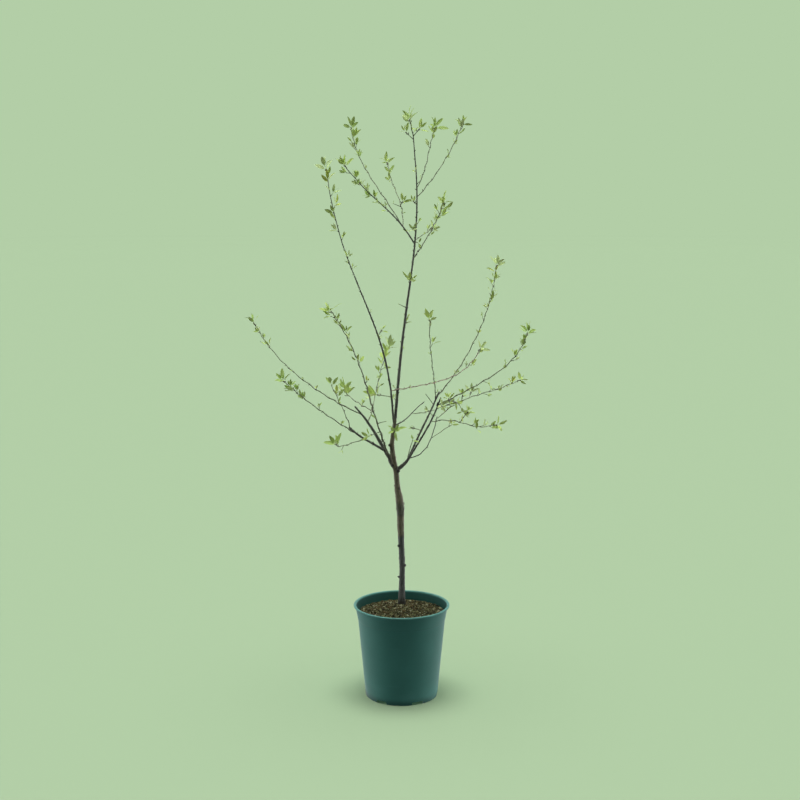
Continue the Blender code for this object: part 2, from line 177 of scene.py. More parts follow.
# A side twig: the limb, how far up it, its reach, its leaves at the tip and their length
Twig = namedtuple("Twig", "limb at reach leaves size tint")
TWIGS = {
    "twig_tall_left": Twig("tall_left_bough", 0.078, (-0.034, 0.008, 0.004), 7, 0.040, 0),
    "twig_front_leaves": Twig("trunk", 0.465, (0.003, -0.020, 0.004), 7, 0.030, 3),
    "twig_left_cluster": Twig("left_front_shoot", 0.085, (-0.026, -0.014, -0.008), 6, 0.023, 0),
    "twig_left_bare": Twig("left_front_shoot", 0.115, (0.020, 0.006, 0.004), 0, 0.010, 0),
    "twig_upright": Twig("right_bough", 0.046, (0.014, -0.018, 0.056), 3, 0.019, 3),
    "twig_upper_side": Twig("right_upper_bough", 0.080, (-0.023, -0.010, 0.008), 4, 0.009, 3),
    "twig_upper_bare": Twig("right_upper_bough", 0.152, (-0.018, 0.006, 0.024), 0, 0.010, 0),
    "twig_lower_leaf": Twig("right_lower_bough", 0.150, (0.010, -0.014, 0.010), 5, 0.023, 1),
    "twig_lower_back": Twig("right_lower_bough", 0.128, (-0.010, 0.012, 0.010), 3, 0.018, 1),
    "twig_wide_foot": Twig("right_wide_shoot", 0.030, (0.020, 0.012, -0.006), 6, 0.021, 0),
    "twig_back_low": Twig("right_back_shoot", 0.078, (0.012, -0.016, -0.020), 7, 0.024, 0),
    "twig_back_one": Twig("right_back_shoot", 0.090, (0.002, -0.012, 0.016), 7, 0.025, 0),
    "twig_back_two": Twig("right_back_shoot", 0.116, (0.004, 0.014, 0.012), 7, 0.024, 1),
    "twig_back_three": Twig("right_back_shoot", 0.052, (-0.004, 0.016, 0.018), 6, 0.022, 0),
    "twig_low_upright": Twig("right_low_shoot", 0.098, (0.018, -0.006, 0.026), 5, 0.021, 0),
    "twig_leader_bare": Twig("leader", 0.295, (-0.019, -0.008, 0.010), 0, 0.010, 0),
    "twig_leader_leaves": Twig("leader", 0.360, (-0.001, -0.012, 0.006), 5, 0.030, 0),
    "twig_leader_back": Twig("leader", 0.245, (0.005, 0.016, 0.012), 4, 0.018, 0),
    "twig_leader_leaf": Twig("leader", 0.459, (0.008, -0.010, -0.002), 3, 0.016, 3),
    "twig_leader_spur": Twig("leader", 0.485, (-0.006, -0.012, 0.004), 6, 0.020, 1),
    "twig_leader_high": Twig("leader", 0.549, (-0.008, -0.006, 0.008), 4, 0.017, 0),
    "twig_leader_top_left": Twig("leader", 0.705, (-0.018, -0.004, 0.016), 4, 0.026, 0),
    "twig_leader_top_right": Twig("leader", 0.715, (0.014, -0.006, 0.016), 5, 0.028, 0),
    "twig_inner_left": Twig("top_left_inner_shoot", 0.074, (-0.018, 0.004, 0.007), 2, 0.010, 3),
    "twig_inner_right": Twig("top_left_inner_shoot", 0.080, (0.006, -0.008, 0.008), 5, 0.026, 0),
    "twig_back_curl": Twig("tall_left_bough", 0.238, (0.008, 0.014, 0.012), 4, 0.019, 0),
}

# The leaves of a shoot: the longest at its tip, how many there, how full the sprays below are,
# and how far the wood stops short of the leaves' reach, as a share of the longest leaf
Tuft = namedtuple("Tuft", "leaf count lush short", defaults=(0.85,))
TUFTS = {
    "leader": Tuft(0.038, 6, 0.9, 0.75),
    "tall_left_bough": Tuft(0.038, 5, 0.4),
    "left_far_shoot": Tuft(0.026, 6, 0.7),
    "left_low_shoot": Tuft(0.030, 7, 1.9),
    "left_front_shoot": Tuft(0.031, 6, 0.4, 1.05),
    "left_back_shoot": Tuft(0.034, 9, 1.5),
    "left_middle_shoot": Tuft(0.033, 7, 1.2),
    "left_inner_shoot": Tuft(0.032, 3, 0.5),
    "left_bottom_shoot": Tuft(0.034, 5, 0.5),
    "right_tall_shoot": Tuft(0.030, 6, 0.9),
    "right_upright_shoot": Tuft(0.029, 6, 0.15, 0.45),
    "right_wide_shoot": Tuft(0.030, 8, 2.4),
    "right_back_shoot": Tuft(0.025, 7, 0.8),
    "right_little_shoot": Tuft(0.018, 3, 0.4),
    "right_low_shoot": Tuft(0.030, 4, 0.4),
    "front_cross_shoot": Tuft(0.025, 6, 0.3),
    "middle_back_shoot": Tuft(0.021, 5, 0.7),
    "upper_right_shoot": Tuft(0.028, 5, 0.6),
    "upper_back_shoot": Tuft(0.023, 5, 0.8),
    "top_right_shoot": Tuft(0.032, 6, 0.4),
    "top_far_right_shoot": Tuft(0.027, 5, 0.5),
    "top_left_bough": Tuft(0.032, 8, 4.0),
    "top_left_high_shoot": Tuft(0.031, 6, 2.6),
    "top_left_inner_shoot": Tuft(0.028, 7, 0.5),
}


class Limb:
    """A limb's smooth middle line, from its foot to its tip, with the wood's radius along it."""

    def __init__(self, name, points, radii, kind):
        self.name = name
        self.points = [Vector(point) for point in points]
        self.radii = list(radii)
        self.kind = kind
        self.girth = self.radii[len(self.radii) // 2]
        self.carrier = None
        self.collar = 0.0
        self.leafy_from = None
        self.measure()

    def measure(self):
        """Work out how far along each point stands, and the frames along the line."""
        self.marks = [0.0]
        for start, end in zip(self.points, self.points[1:]):
            self.marks.append(self.marks[-1] + (end - start).length)
        self.length = self.marks[-1]
        count = max(2, round(self.length / LINE_STEP))
        self.frames = []
        side = across(self.heading(0))
        for index in range(count + 1):
            distance = self.length * index / count
            ahead = self.heading(distance)
            side = (side - side.dot(ahead) * ahead).normalized()
            self.frames.append((distance, self.at(distance), ahead, side, ahead.cross(side)))

    def span(self, distance):
        """The index of the stretch that holds a distance from the foot, and the share along it."""
        distance = min(max(distance, 0.0), self.length)
        index = min(max(bisect.bisect_left(self.marks, distance) - 1, 0), len(self.marks) - 2)
        size = self.marks[index + 1] - self.marks[index]
        return index, (distance - self.marks[index]) / size

    def at(self, distance):
        """The point at a distance from the foot, on a smooth curve."""
        index, t = self.span(distance)
        last = len(self.points) - 1
        before, start, end, after = (
            self.points[min(max(index + step, 0), last)] for step in (-1, 0, 1, 2)
        )
        bend = 2 * before - 5 * start + 4 * end - after
        twist = 3 * (start - end) + after - before
        return start + t * (end - before) / 2 + t * t * bend / 2 + t * t * t * twist / 2

    def radius(self, distance):
        index, t = self.span(distance)
        return self.radii[index] + t * (self.radii[index + 1] - self.radii[index])

    def heading(self, distance):
        """The direction of growth at a distance from the foot."""
        back = max(distance - LINE_STEP, 0)
        ahead = min(distance + LINE_STEP, self.length)
        return (self.at(ahead) - self.at(back)).normalized()

    def frame(self, distance):
        """The middle, the heading and two directions across it at a distance from the foot."""
        share = min(max(distance / self.length, 0), 1)
        _, _, ahead, side, other = self.frames[round(share * (len(self.frames) - 1))]
        return self.at(distance), ahead, side, other

    def nearest(self, place):
        """The distance from the foot where the line comes closest to a place."""
        return min(self.frames, key=lambda one: (one[1] - place).length_squared)[0]

    @functools.cached_property
    def buds(self):
        """Where its buds stand: the distances from its foot, and the angles round it."""
        dice = random.Random(self.name + " buds")
        distances, angles = [], []
        distance = FIRST_BUD * dice.uniform(0.8, 1.3) + self.collar
        angle = dice.uniform(0, math.tau)
        while distance < self.length - LAST_BUD:
            distances.append(distance)
            angles.append(angle)
            distance += BUD_SPACING * dice.uniform(0.65, 1.35)
            angle += BUD_TURN + dice.uniform(-0.3, 0.3)
        return distances, angles

    def bark(self, distance, angle):
        """How far the bark stands from the line: its taper, foot collar, bud cushions and rings."""
        reach = self.radius(distance)
        cushion = min(0.3 * reach, 0.0006) if self.kind < SHOOT else 0.75 * reach
        if self.collar:
            reach *= 1 + 0.35 * math.exp(-distance / (1.6 * self.collar))
        if self.kind == TRUNK:
            reach += ROOT_FLARE * math.exp(-distance / ROOT_FLARE_HEIGHT)
        distances, angles = self.buds
        index = bisect.bisect_left(distances, distance)
        for place, turn in list(zip(distances, angles))[max(index - 1, 0) : index + 1]:
            facing = 0.3 + 0.7 * max(math.cos(angle - turn), 0) ** 2
            reach += cushion * facing * math.exp(-(((distance - place) / 0.0018) ** 2))
        for ring in YEAR_RINGS.get(self.name, ()):
            away = (distance - ring) / 0.0045
            wrinkles = 0.10 + 0.07 * math.cos(math.tau * (distance - ring) / 0.0022)
            reach += self.radius(distance) * wrinkles * math.exp(-away * away)
        return reach


def across(direction):
    """A unit vector square to a direction."""
    side = direction.cross(Vector((0, 0, 1)))
    if side.length < 0.1:
        side = direction.cross(Vector((0, 1, 0)))
    return side.normalized()


def broadside(direction):
    """A unit vector square to a direction, level with the front."""
    side = Vector((0, 1, 0)).cross(direction)
    return side.normalized() if side.length > 0.1 else Vector((1, 0, 0))


def soft_step(value, low, high):
    """0 below low, 1 above high, and a smooth rise between."""
    share = min(max((value - low) / (high - low), 0.0), 1.0)
    return share * share * (3 - 2 * share)


def relief(place, distance, angle, radius):
    """The bark's small ups and downs: broad lumps, lengthwise ridges and a fine grain."""
    lumps = noise.fractal(place * 60, 0.9, 2.0, 2)
    ridges = noise.noise(Vector((math.cos(angle) * 2.4, math.sin(angle) * 2.4, distance * 50)))
    fine = noise.noise(place * 500)
    return radius * (0.05 * lumps + 0.05 * ridges) + 0.00012 * fine


def sections(node, count, edge=SLICE_EDGE):
    """Middles and mean radii of slices across a node, from one of its ends to the other."""
    bm = bmesh.new()
    bm.from_mesh(NODES[node].data)
    bmesh.ops.remove_doubles(bm, verts=bm.verts, dist=NODE_WELD)
    points = [vert.co.copy() for vert in bm.verts]
    middle = sum(points, Vector()) / len(points)
    start = max(points, key=lambda point: (point - middle).length)
    end = max(points, key=lambda point: (point - start).length)
    middles, radii = [], []
    for index in range(count):
        share = edge + (1 - 2 * edge) * index / (count - 1)
        every = bm.verts[:] + bm.edges[:] + bm.faces[:]
        cut = bmesh.ops.bisect_plane(
            bm, geom=every, plane_co=start.lerp(end, share), plane_no=end - start
        )
        ring = [part.co.copy() for part in cut["geom_cut"] if isinstance(part, bmesh.types.BMVert)]
        middles.append(sum(ring, Vector()) / len(ring))
        radii.append(sum((point - middles[-1]).length for point in ring) / len(ring))
    bm.free()
    step = edge * (count - 1) / (1 - 2 * edge)
    middles.insert(0, middles[0] + step * (middles[0] - middles[1]))
    middles.append(middles[-1] + step * (middles[-1] - middles[-2]))
    return middles, [radii[0], *radii, radii[-1]]


def kind_of(name):
    """The kind of bark on a packed limb."""
    if name == "trunk":
        return TRUNK
    if name in BLUSHING:
        return BLUSH
    return SHOOT if name.endswith("_shoot") else BOUGH


def leafy_node(name):
    """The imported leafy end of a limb, or None on a bare one."""
    stem = name.removesuffix("_bough").removesuffix("_shoot")
    if name.endswith("_bough") and stem + "_shoot" in NODES:
        return None
    return stem + "_leaves" if stem + "_leaves" in NODES else None


def even_taper(radii):
    """The radii of a limb with a steady taper, from those of slices clear of its ends."""
    slope = (radii[-4] - radii[3]) / (len(radii) - 7)
    return [radii[3] + slope * (index - 3) for index in range(len(radii))]


def limb_from_node(name):
    """A limb from its foot to the tip of its wood, through its leafy end if it has one."""
    if name == "trunk":
        points, radii = sections(name, TRUNK_SLICES, TRUNK_EDGE)
        if points[0].z > points[-1].z:
            points.reverse()
            radii.reverse()
        return Limb(name, points, radii, TRUNK)
    points, radii = sections(name, LIMB_SLICES)
    slim = SHOOT_SLIMMER if name.endswith("_shoot") else SLIM_BOUGHS.get(name, 1.0)
    radii = [slim * radius for radius in even_taper(radii)]
    if not leafy_node(name):
        return Limb(name, points, radii, kind_of(name))
    ahead = sections(leafy_node(name), LEAFY_SLICES)[0]
    goal = sum(ahead, Vector()) / len(ahead)
    if (points[0] - goal).length < (points[-1] - goal).length:
        points.reverse()
        radii.reverse()
    if (ahead[0] - points[-1]).length > (ahead[-1] - points[-1]).length:
        ahead.reverse()
    short = TUFTS[name].short * TUFTS[name].leaf
    end = ahead[-1]
    tip = end - short * (end - ahead[-2]).normalized()
    wooded = [point for point in ahead[2:-2] if (point - end).length > short + NEXT_POINT] + [tip]
    bare = Limb(name, points, radii, kind_of(name))
    end_radius = radii[-1]
    for index, point in enumerate(wooded, 1):
        points.append(point)
        radii.append(end_radius + index / len(wooded) * (WOOD_TIP_RADIUS - end_radius))
    limb = Limb(name, points, radii, bare.kind)
    limb.girth = bare.girth
    limb.leafy_from = bare.length
    return limb


def footing(limb, end, limbs):
    """Where an end of a limb meets a thicker one: the gap, that limb and how far along it."""
    found = []
    for other in limbs.values():
        if other.girth > 1.02 * limb.girth:
            mark = other.nearest(end)
            found.append(((other.at(mark) - end).length - other.radius(mark), other.name, mark))
    return min(found)


def carry(limb, limbs):
    """Start a limb on the middle line of the limb that carries it."""
    ends = footing(limb, limb.points[0], limbs), footing(limb, limb.points[-1], limbs)
    if limb.leafy_from is None and ends[1] < ends[0]:
        limb.points.reverse()
        limb.radii.reverse()
        limb.measure()
    _, limb.carrier, mark = footing(limb, limb.points[0], limbs)
    holder = limbs[limb.carrier]
    limb.collar = holder.radius(mark)
    start = holder.at(max(mark - 0.6 * limb.collar, 0))
    leafy_left = limb.length - limb.leafy_from if limb.leafy_from is not None else None
    if (limb.points[1] - start).length < 2 * limb.radii[0]:
        del limb.points[1], limb.radii[1]
    limb.points[0] = start
    limb.measure()
    if leafy_left is not None:
        limb.leafy_from = limb.length - leafy_left


def kink(limb):
    """Bend a shoot a little to and fro at its buds, each time away from the bud."""
    points, radii = [limb.points[0]], [limb.radii[0]]
    for distance, angle in zip(*limb.buds):
        middle, _, side, other = limb.frame(distance)
        away = -(math.cos(angle) * side + math.sin(angle) * other)
        points.append(middle + SHOOT_KINK * away)
        radii.append(limb.radius(distance))
    limb.points = points + [limb.points[-1]]
    limb.radii = radii + [limb.radii[-1]]
    limb.measure()


def side_limb(name, holder, at, reach, foot_radius, tip_radius, kind):
    """A stub or twig that starts on the middle line of the limb that carries it."""
    start = holder.at(at)
    reach = Vector(reach)
    bow = 0.12 * reach.length * across(reach).cross(reach.normalized())
    points = [start + reach * share + bow * 4 * share * (1 - share) for share in (0, 0.3, 0.65, 1)]
    radii = [foot_radius + share * (tip_radius - foot_radius) for share in (0, 0.3, 0.65, 1)]
    limb = Limb(name, points, radii, kind)
    limb.carrier = holder.name
    limb.collar = holder.radius(at)
    return limb


@functools.cache
def all_limbs():
    """Every limb, stub and side twig by name."""
    trunk = limb_from_node("trunk")
    trunk.points.insert(0, trunk.points[0] - Vector((0, 0, TRUNK_IN_MIX)))
    trunk.radii.insert(0, trunk.radii[0])
    trunk.measure()
    limbs = {"trunk": trunk}
    for name in WOODY_NODES:
        if name != "trunk":
            limbs[name] = limb_from_node(name)
    for name in WOODY_NODES:
        if name != "trunk":
            carry(limbs[name], limbs)
    for name in WOODY_NODES:
        if name.endswith("_shoot"):
            kink(limbs[name])
    for name, stub in STUBS.items():
        holder = limbs[stub.limb]
        reach, radius = stub.reach, stub.radius
        limbs[name] = side_limb(name, holder, stub.at, reach, radius * 1.3, radius, holder.kind)
    for name, twig in TWIGS.items():
        holder = limbs[twig.limb]
        limbs[name] = side_limb(name, holder, twig.at, twig.reach, 0.0011, 0.0006, SHOOT)
    return limbs


class Stretch:
    """A part of a limb, which can say how far a place is from its bark."""

    def __init__(self, limb, start=0.0, end=None):
        self.limb = limb
        self.start = start
        self.end = limb.length if end is None else end
        frames = [one for one in limb.frames if self.start <= one[0] <= self.end]
        self.frames = frames
        self.tree = kdtree.KDTree(len(frames))
        for index, one in enumerate(frames):
            self.tree.insert(one[1], index)
        self.tree.balance()
        margin = 0.012
        self.low = [min(one[1][axis] for one in frames) - margin for axis in range(3)]
        self.high = [max(one[1][axis] for one in frames) + margin for axis in range(3)]

    def near(self, place):
        return all(low < value < high for low, value, high in zip(self.low, place, self.high))

    def meet(self, place):
        """How a place lies: its gap to the bark, its distance along, the middle and two ways out."""
        distance, middle, ahead, side, other = self.frames[self.tree.find(place)[1]]
        along = (place - middle).dot(ahead)
        middle = middle + along * ahead
        gap = (place - middle).length - self.limb.radius(distance + along)
        return gap, distance + along, middle, side, other

    def fade(self, distance):
        """Slightly under 1 near an end where the limb goes on in another piece."""
        thin = 0.0
        if self.end < self.limb.length:
            thin = soft_step(distance, self.end - 0.004, self.end - 0.0005)
        if self.start > 0:
            thin = max(thin, 1 - soft_step(distance, self.start + 0.0005, self.start + 0.004))
        return 1 - 0.14 * thin


def wood_bmesh():
    """A bmesh whose points know the grain, the kind of bark, and whether in a cut or a knot."""
    bm = bmesh.new()
    bm.verts.layers.float_vector.new("grain")
    bm.verts.layers.float.new("kind")
    bm.verts.layers.float.new("cut")
    bm.verts.layers.float.new("knot")
    return bm


def grain_of(limb, distance, angle):
    """Where a place on a limb lies in the bark's pattern, which no two limbs share."""
    radius = limb.radius(distance)
    shift = 0.35 * (sum(map(ord, limb.name)) % 97)
    return radius * math.cos(angle), radius * math.sin(angle), distance + shift


def add_tube(bm, stretch, spacing, sides, rough):
    """A closed tube along part of a limb, from a grid wrapped round its line."""
    grain = bm.verts.layers.float_vector["grain"]
    kind = bm.verts.layers.float["kind"]
    limb = stretch.limb
    start, size = stretch.start, stretch.end - stretch.start
    rings = max(5, round(size / spacing))
    grid = bmesh.ops.create_grid(bm, x_segments=sides, y_segments=rings, size=0.5)["verts"]
    cap = 0.0003
    for vert in grid:
        angle = math.tau * (vert.co.x + 0.5)
        ring = round((vert.co.y + 0.5) * rings)
        share = {1: cap / size, rings - 1: 1 - cap / size}.get(ring, ring / rings)
        distance = start + size * share
        middle, _, side, other = limb.frame(distance)
        out = math.cos(angle) * side + math.sin(angle) * other
        base = limb.radius(distance)
        reach = 0.0
        if 0 < ring < rings:
            reach = limb.bark(distance, angle) * stretch.fade(distance)
            reach += rough * relief(middle + out * base, distance, angle, base)
        vert.co = middle + out * reach
        vert[grain] = grain_of(limb, distance, angle)
        vert[kind] = limb.kind
    bmesh.ops.remove_doubles(bm, verts=grid, dist=SEAM_WELD)


def fused(bm, voxel):
    """The bmesh's overlapping closed shapes as one skin."""
    mesh = bpy.data.meshes.new("to_fuse")
    bm.to_mesh(mesh)
    bm.free()
    holder = bpy.data.objects.new("to_fuse", mesh)
    bpy.context.scene.collection.objects.link(holder)
    remesh = holder.modifiers.new("fuse", "REMESH")
    remesh.mode = "VOXEL"
    remesh.voxel_size = voxel
    graph = bpy.context.evaluated_depsgraph_get()
    skin = bpy.data.meshes.new_from_object(holder.evaluated_get(graph))
    bpy.data.objects.remove(holder)
    done = wood_bmesh()
    done.from_mesh(skin)
    bpy.data.meshes.remove(skin)
    return done


def wood_skin(stretches, voxel):
    """One closed skin over parts of limbs, smooth where they fork and ridged with bark."""
    bm = wood_bmesh()
    for stretch in stretches:
        add_tube(bm, stretch, 2 * voxel, 24, 0.0)
    bmesh.ops.recalc_face_normals(bm, faces=bm.faces)
    bm = fused(bm, voxel)
    smoothed(bm, bm.verts, 3)
    forks = [vert for vert in bm.verts if settle(bm, vert, stretches)]
    smoothed(bm, forks, 2)
    return bm


def smoothed(bm, verts, times):
    for _ in range(times):
        bmesh.ops.smooth_vert(
            bm, verts=verts, factor=0.5, use_axis_x=True, use_axis_y=True, use_axis_z=True
        )


def settle(bm, vert, stretches):
    """Put a point of the skin on its limb's bark. Near a fork it keeps the joined shape."""
    met = [(one.meet(vert.co), one) for one in stretches if one.near(vert.co)]
    met.sort(key=lambda pair: pair[0][0])
    knots = [1 - soft_step(gap[0], 0.0, 0.0022) for gap, one in met if one.limb.name in DARK_KNOTS]
    (_, distance, middle, side, other), stretch = met[0]
    limb = stretch.limb
    out = vert.co - middle
    angle = math.atan2(out.dot(other), out.dot(side))
    apart = soft_step(met[1][0][0], 0.0002, 0.0030) if len(met) > 1 else 1.0
    kind = limb.kind
    if len(met) > 1:
        kind += (met[1][1].limb.kind - limb.kind) * 0.5 * (1 - apart)
    ends = soft_step(stretch.end - distance, 0.0004, 0.0014)
    reach = limb.bark(distance, angle) * stretch.fade(distance)
    reach = out.length + apart * ends * (reach - out.length)
    reach += ends * relief(vert.co, distance, angle, limb.radius(distance))
    vert.co = middle + out.normalized() * reach
    vert[bm.verts.layers.float_vector["grain"]] = grain_of(limb, distance, angle)
    vert[bm.verts.layers.float["kind"]] = kind
    vert[bm.verts.layers.float["knot"]] = max(knots, default=0.0)
    cut_from = limb.length - 0.0009
    if stretch.end == limb.length and limb.name in PRUNED:
        vert[bm.verts.layers.float["cut"]] = soft_step(distance, cut_from, cut_from + 0.0005)
    return apart < 0.9


# How many points a heap's batch holds before it joins the rest
BATCH_POINTS = 900


class Heap:
    """Many small shapes in one bmesh, made in batches.

    An operator's time grows with all that its bmesh holds, so each shape is made in a small one.
    """

    def __init__(self, start=bmesh.new):
        self.start = start
        self.whole = start()
        self.batch = start()

    def room(self):
        """The bmesh to make the next shape in."""
        if len(self.batch.verts) > BATCH_POINTS:
            self.gather()
        return self.batch

    def gather(self):
        """Put the batch with the rest, and give back the whole heap."""
        mesh = bpy.data.meshes.new("batch")
        self.batch.to_mesh(mesh)
        self.whole.from_mesh(mesh)
        bpy.data.meshes.remove(mesh)
        self.batch.free()
        self.batch = self.start()
        return self.whole


def finish_piece(name, bm, materials, slot, *replaced):
    """An object of the bmesh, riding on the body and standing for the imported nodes."""
    mesh = bpy.data.meshes.new(name)
    bm.to_mesh(mesh)
    bm.free()
    mesh.shade_smooth()
    for material in materials:
        mesh.materials.append(material)
    obj = bpy.data.objects.new(name, mesh)
    bpy.context.scene.collection.objects.link(obj)
    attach(obj, BODY)
    if replaced:
        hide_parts(*replaced)
    return obj


class Wire:
    """An output of a node. An expression on wires and numbers adds its Math nodes."""

    def __init__(self, graph, socket):
        self.graph, self.socket = graph, socket

    def __add__(self, other):
        return self.graph.math("ADD", self, other)

    def __radd__(self, other):
        return self.graph.math("ADD", other, self)

    def __sub__(self, other):
        return self.graph.math("SUBTRACT", self, other)

    def __rsub__(self, other):
        return self.graph.math("SUBTRACT", other, self)

    def __mul__(self, other):
        return self.graph.math("MULTIPLY", self, other)

    def __rmul__(self, other):
        return self.graph.math("MULTIPLY", other, self)

    def __abs__(self):
        return self.graph.math("ABSOLUTE", self, 0)


class Graph:
    """A node tree, and the ways to add nodes to it."""

    def __init__(self, tree):
        self.tree = tree

    def node(self, kind, settings=None, sockets=None, output=0):
        """A node of a kind: its settings are made first, then its sockets' values or links."""
        made = self.tree.nodes.new(kind)
        for name, value in (settings or {}).items():
            setattr(made, name, value)
        for name, value in (sockets or {}).items():
            self.feed(made.inputs[name], value)
        return Wire(self, made.outputs[output])

    def feed(self, socket, value):
        """Link a wire to a socket, or set the socket's own value."""
        if isinstance(value, Wire):
            self.tree.links.new(value.socket, socket)
        elif socket.type == "RGBA":
            socket.default_value = (*value[:3], 1.0)
        else:
            socket.default_value = value

    def math(self, operation, one, two):
        return self.node("ShaderNodeMath", {"operation": operation}, {0: one, 1: two})

    def most(self, one, two):
        return self.math("MAXIMUM", one, two)

    def smooth(self, value, low, high):
        """0 below low and 1 above high, with a soft step between."""
        settings = {"interpolation_type": "SMOOTHSTEP"}
        sockets = {"Value": value, "From Min": low, "From Max": high}
        return self.node("ShaderNodeMapRange", settings, sockets)

    def mix(self, factor, one, two):
        """A colour between two, by a factor."""
        return self.node("ShaderNodeMix", {"data_type": "RGBA"}, {0: factor, 6: one, 7: two}, 2)

    def dimmed(self, colour, factor):
        """A colour made darker or lighter by a factor."""
        return self.node("ShaderNodeVectorMath", {"operation": "SCALE"}, {0: colour, 3: factor})

    def parts(self, vector):
        """The three numbers of a vector."""
        made = self.node("ShaderNodeSeparateXYZ", None, {0: vector})
        return [Wire(self, socket) for socket in made.socket.node.outputs]

    def object_place(self):
        return self.node("ShaderNodeTexCoord", output=3)

    def attribute(self, name, output):
        settings = {"attribute_type": "GEOMETRY", "attribute_name": name}
        return self.node("ShaderNodeAttribute", settings, None, output)

    def scaled(self, vector, scale):
        return self.node("ShaderNodeMapping", None, {"Vector": vector, "Scale": scale})

    def noise(self, vector, scale, detail=3.0):
        sockets = {"Vector": vector, "Scale": scale, "Detail": detail}
        return self.node("ShaderNodeTexNoise", None, sockets)


class Finish(Graph):
    """A material with a Principled shader."""

    def __init__(self, name, roughness=0.6, specular=0.5):
        self.material = bpy.data.materials.new(name)
        self.material.use_nodes = True
        super().__init__(self.material.node_tree)
        self.surface = self.tree.nodes["Principled BSDF"].inputs
        self.surface["Roughness"].default_value = roughness
        self.surface["Specular IOR Level"].default_value = specular

    def paint(self, colour, roughness=None):
        self.feed(self.surface["Base Color"], colour)
        if roughness is not None:
            self.feed(self.surface["Roughness"], roughness)

    def bump(self, height, distance, strength=1.0):
        """Relief from a height between 0 and 1, with its depth in metres."""
        sockets = {"Height": height, "Distance": distance, "Strength": strength}
        self.feed(self.surface["Normal"], self.node("ShaderNodeBump", None, sockets))


def bark_material(wood):
    """Bark: grey below a graft line and brown above it, greener on shoots, paler where cut."""
    finish = Finish("bark", specular=0.4)
    grain = finish.attribute("grain", 1)
    kind = finish.attribute("kind", 2)
    cut = finish.attribute("cut", 2)
    knot = finish.attribute("knot", 2)
    height = finish.parts(finish.object_place())[2]
    streaks = finish.noise(finish.scaled(grain, (1000, 1000, 50)), 1.0, 4.0)
    sides = finish.noise(finish.scaled(grain, (150, 150, 14)), 1.0, 2.0)
    clouds = finish.noise(grain, 70.0)
    specks = finish.noise(grain, 1500.0, 2.0)
    bands = finish.noise(finish.scaled(grain, (230, 230, 1250)), 1.0, 1.0)
    lenticels = finish.smooth(bands, 0.67, 0.73) * (1 - cut)
    ragged = height + 0.016 * (streaks - 0.5)
    trunk = finish.mix(finish.smooth(ragged, 0.399, 0.411), wood.trunk_foot, wood.trunk_top)
    knee = finish.smooth(ragged, 0.453, 0.461) * (1 - finish.smooth(ragged, 0.485, 0.499))
    trunk = finish.mix(knee * 0.8, trunk, wood.knee_colour)
    body = finish.mix(finish.smooth(kind, 0.0, 1.0), trunk, wood.bough_colour)
    body = finish.mix(finish.smooth(kind, 1.0, 2.0), body, wood.shoot_colour)
    body = finish.mix(finish.smooth(kind, 2.0, 3.0), body, wood.blush_colour)
    body = finish.dimmed(body, 0.15 + clouds * 0.5 + finish.smooth(streaks, 0.35, 0.75) + sides * 0.5)
    pale = finish.dimmed(body, 2.2)
    body = finish.mix(lenticels * 0.7, body, pale)
    body = finish.mix(cut * (0.6 + 0.4 * specks), body, wood.cut_colour)
    body = finish.mix(knot * 0.8, body, wood.knot_colour)
    # Soil stain and painted contact shade: the bark is darker and browner where the trunk meets the mix
    foot_stain_and_shade = (1 - finish.smooth(ragged, 0.230, 0.246)) * (1 - finish.smooth(kind, 0.0, 0.5))
    body = finish.mix(foot_stain_and_shade * 0.75, body, wood.foot_stain_and_shade_colour)
    finish.paint(body, 0.50 + 0.28 * specks)
    finish.bump(streaks * 0.55 + specks * 0.25 + lenticels * 0.6, 0.0005)
    return finish.material


# A leaf's painted glow, standing in for light that comes through it from behind, as a share of its colour
LEAF_PAINTED_GLOW = 0.09


def leaf_material(name, green):
    """A thin leaf: a pale midrib and side veins, a cloudy green between them, and a faint painted glow."""
    finish = Finish(name, specular=0.22)
    across_leaf, along_leaf, _ = finish.parts(finish.node("ShaderNodeUVMap", {"uv_map": "leaf"}))
    off = abs(across_leaf - 0.5) * 2
    midrib = 1 - finish.smooth(off, 0.03, 0.14)
    slant = finish.math("FRACT", (along_leaf - off * 0.2) * 7, 0)
    veins = (1 - finish.smooth(abs(slant - 0.5), 0.04, 0.2)) * 0.4
    lines = finish.most(midrib, veins)
    clouds = finish.noise(finish.object_place(), 260.0, 2.0)
    body = finish.dimmed(green, 0.80 + 0.40 * clouds)
    rib = tuple(min(1, value * 1.15 + 0.06) for value in green)
    finish.paint(finish.mix(lines * 0.5, body, rib), 0.52 + 0.2 * clouds)
    finish.bump(1 - lines, 0.0002, 0.7)
    # Painted glow: the leaf glows faintly in its own green, as if lit through from behind
    finish.feed(finish.surface["Emission Color"], green)
    finish.surface["Emission Strength"].default_value = LEAF_PAINTED_GLOW
    return finish.material


def speckled_material(name, colour, spread, scale, roughness, depth):
    """A matt material with a cloudy, speckled colour and a fine relief."""
    finish = Finish(name, specular=0.15)
    place = finish.object_place()
    clouds = finish.noise(place, scale, 4.0)
    fine = finish.noise(place, scale * 6, 2.0)
    body = finish.dimmed(colour, 1 - spread + 2 * spread * (clouds * 0.6 + fine * 0.4))
    finish.paint(body, roughness - 0.1 + 0.2 * fine)
    finish.bump(clouds * 0.5 + fine * 0.5, depth)
    return finish.material


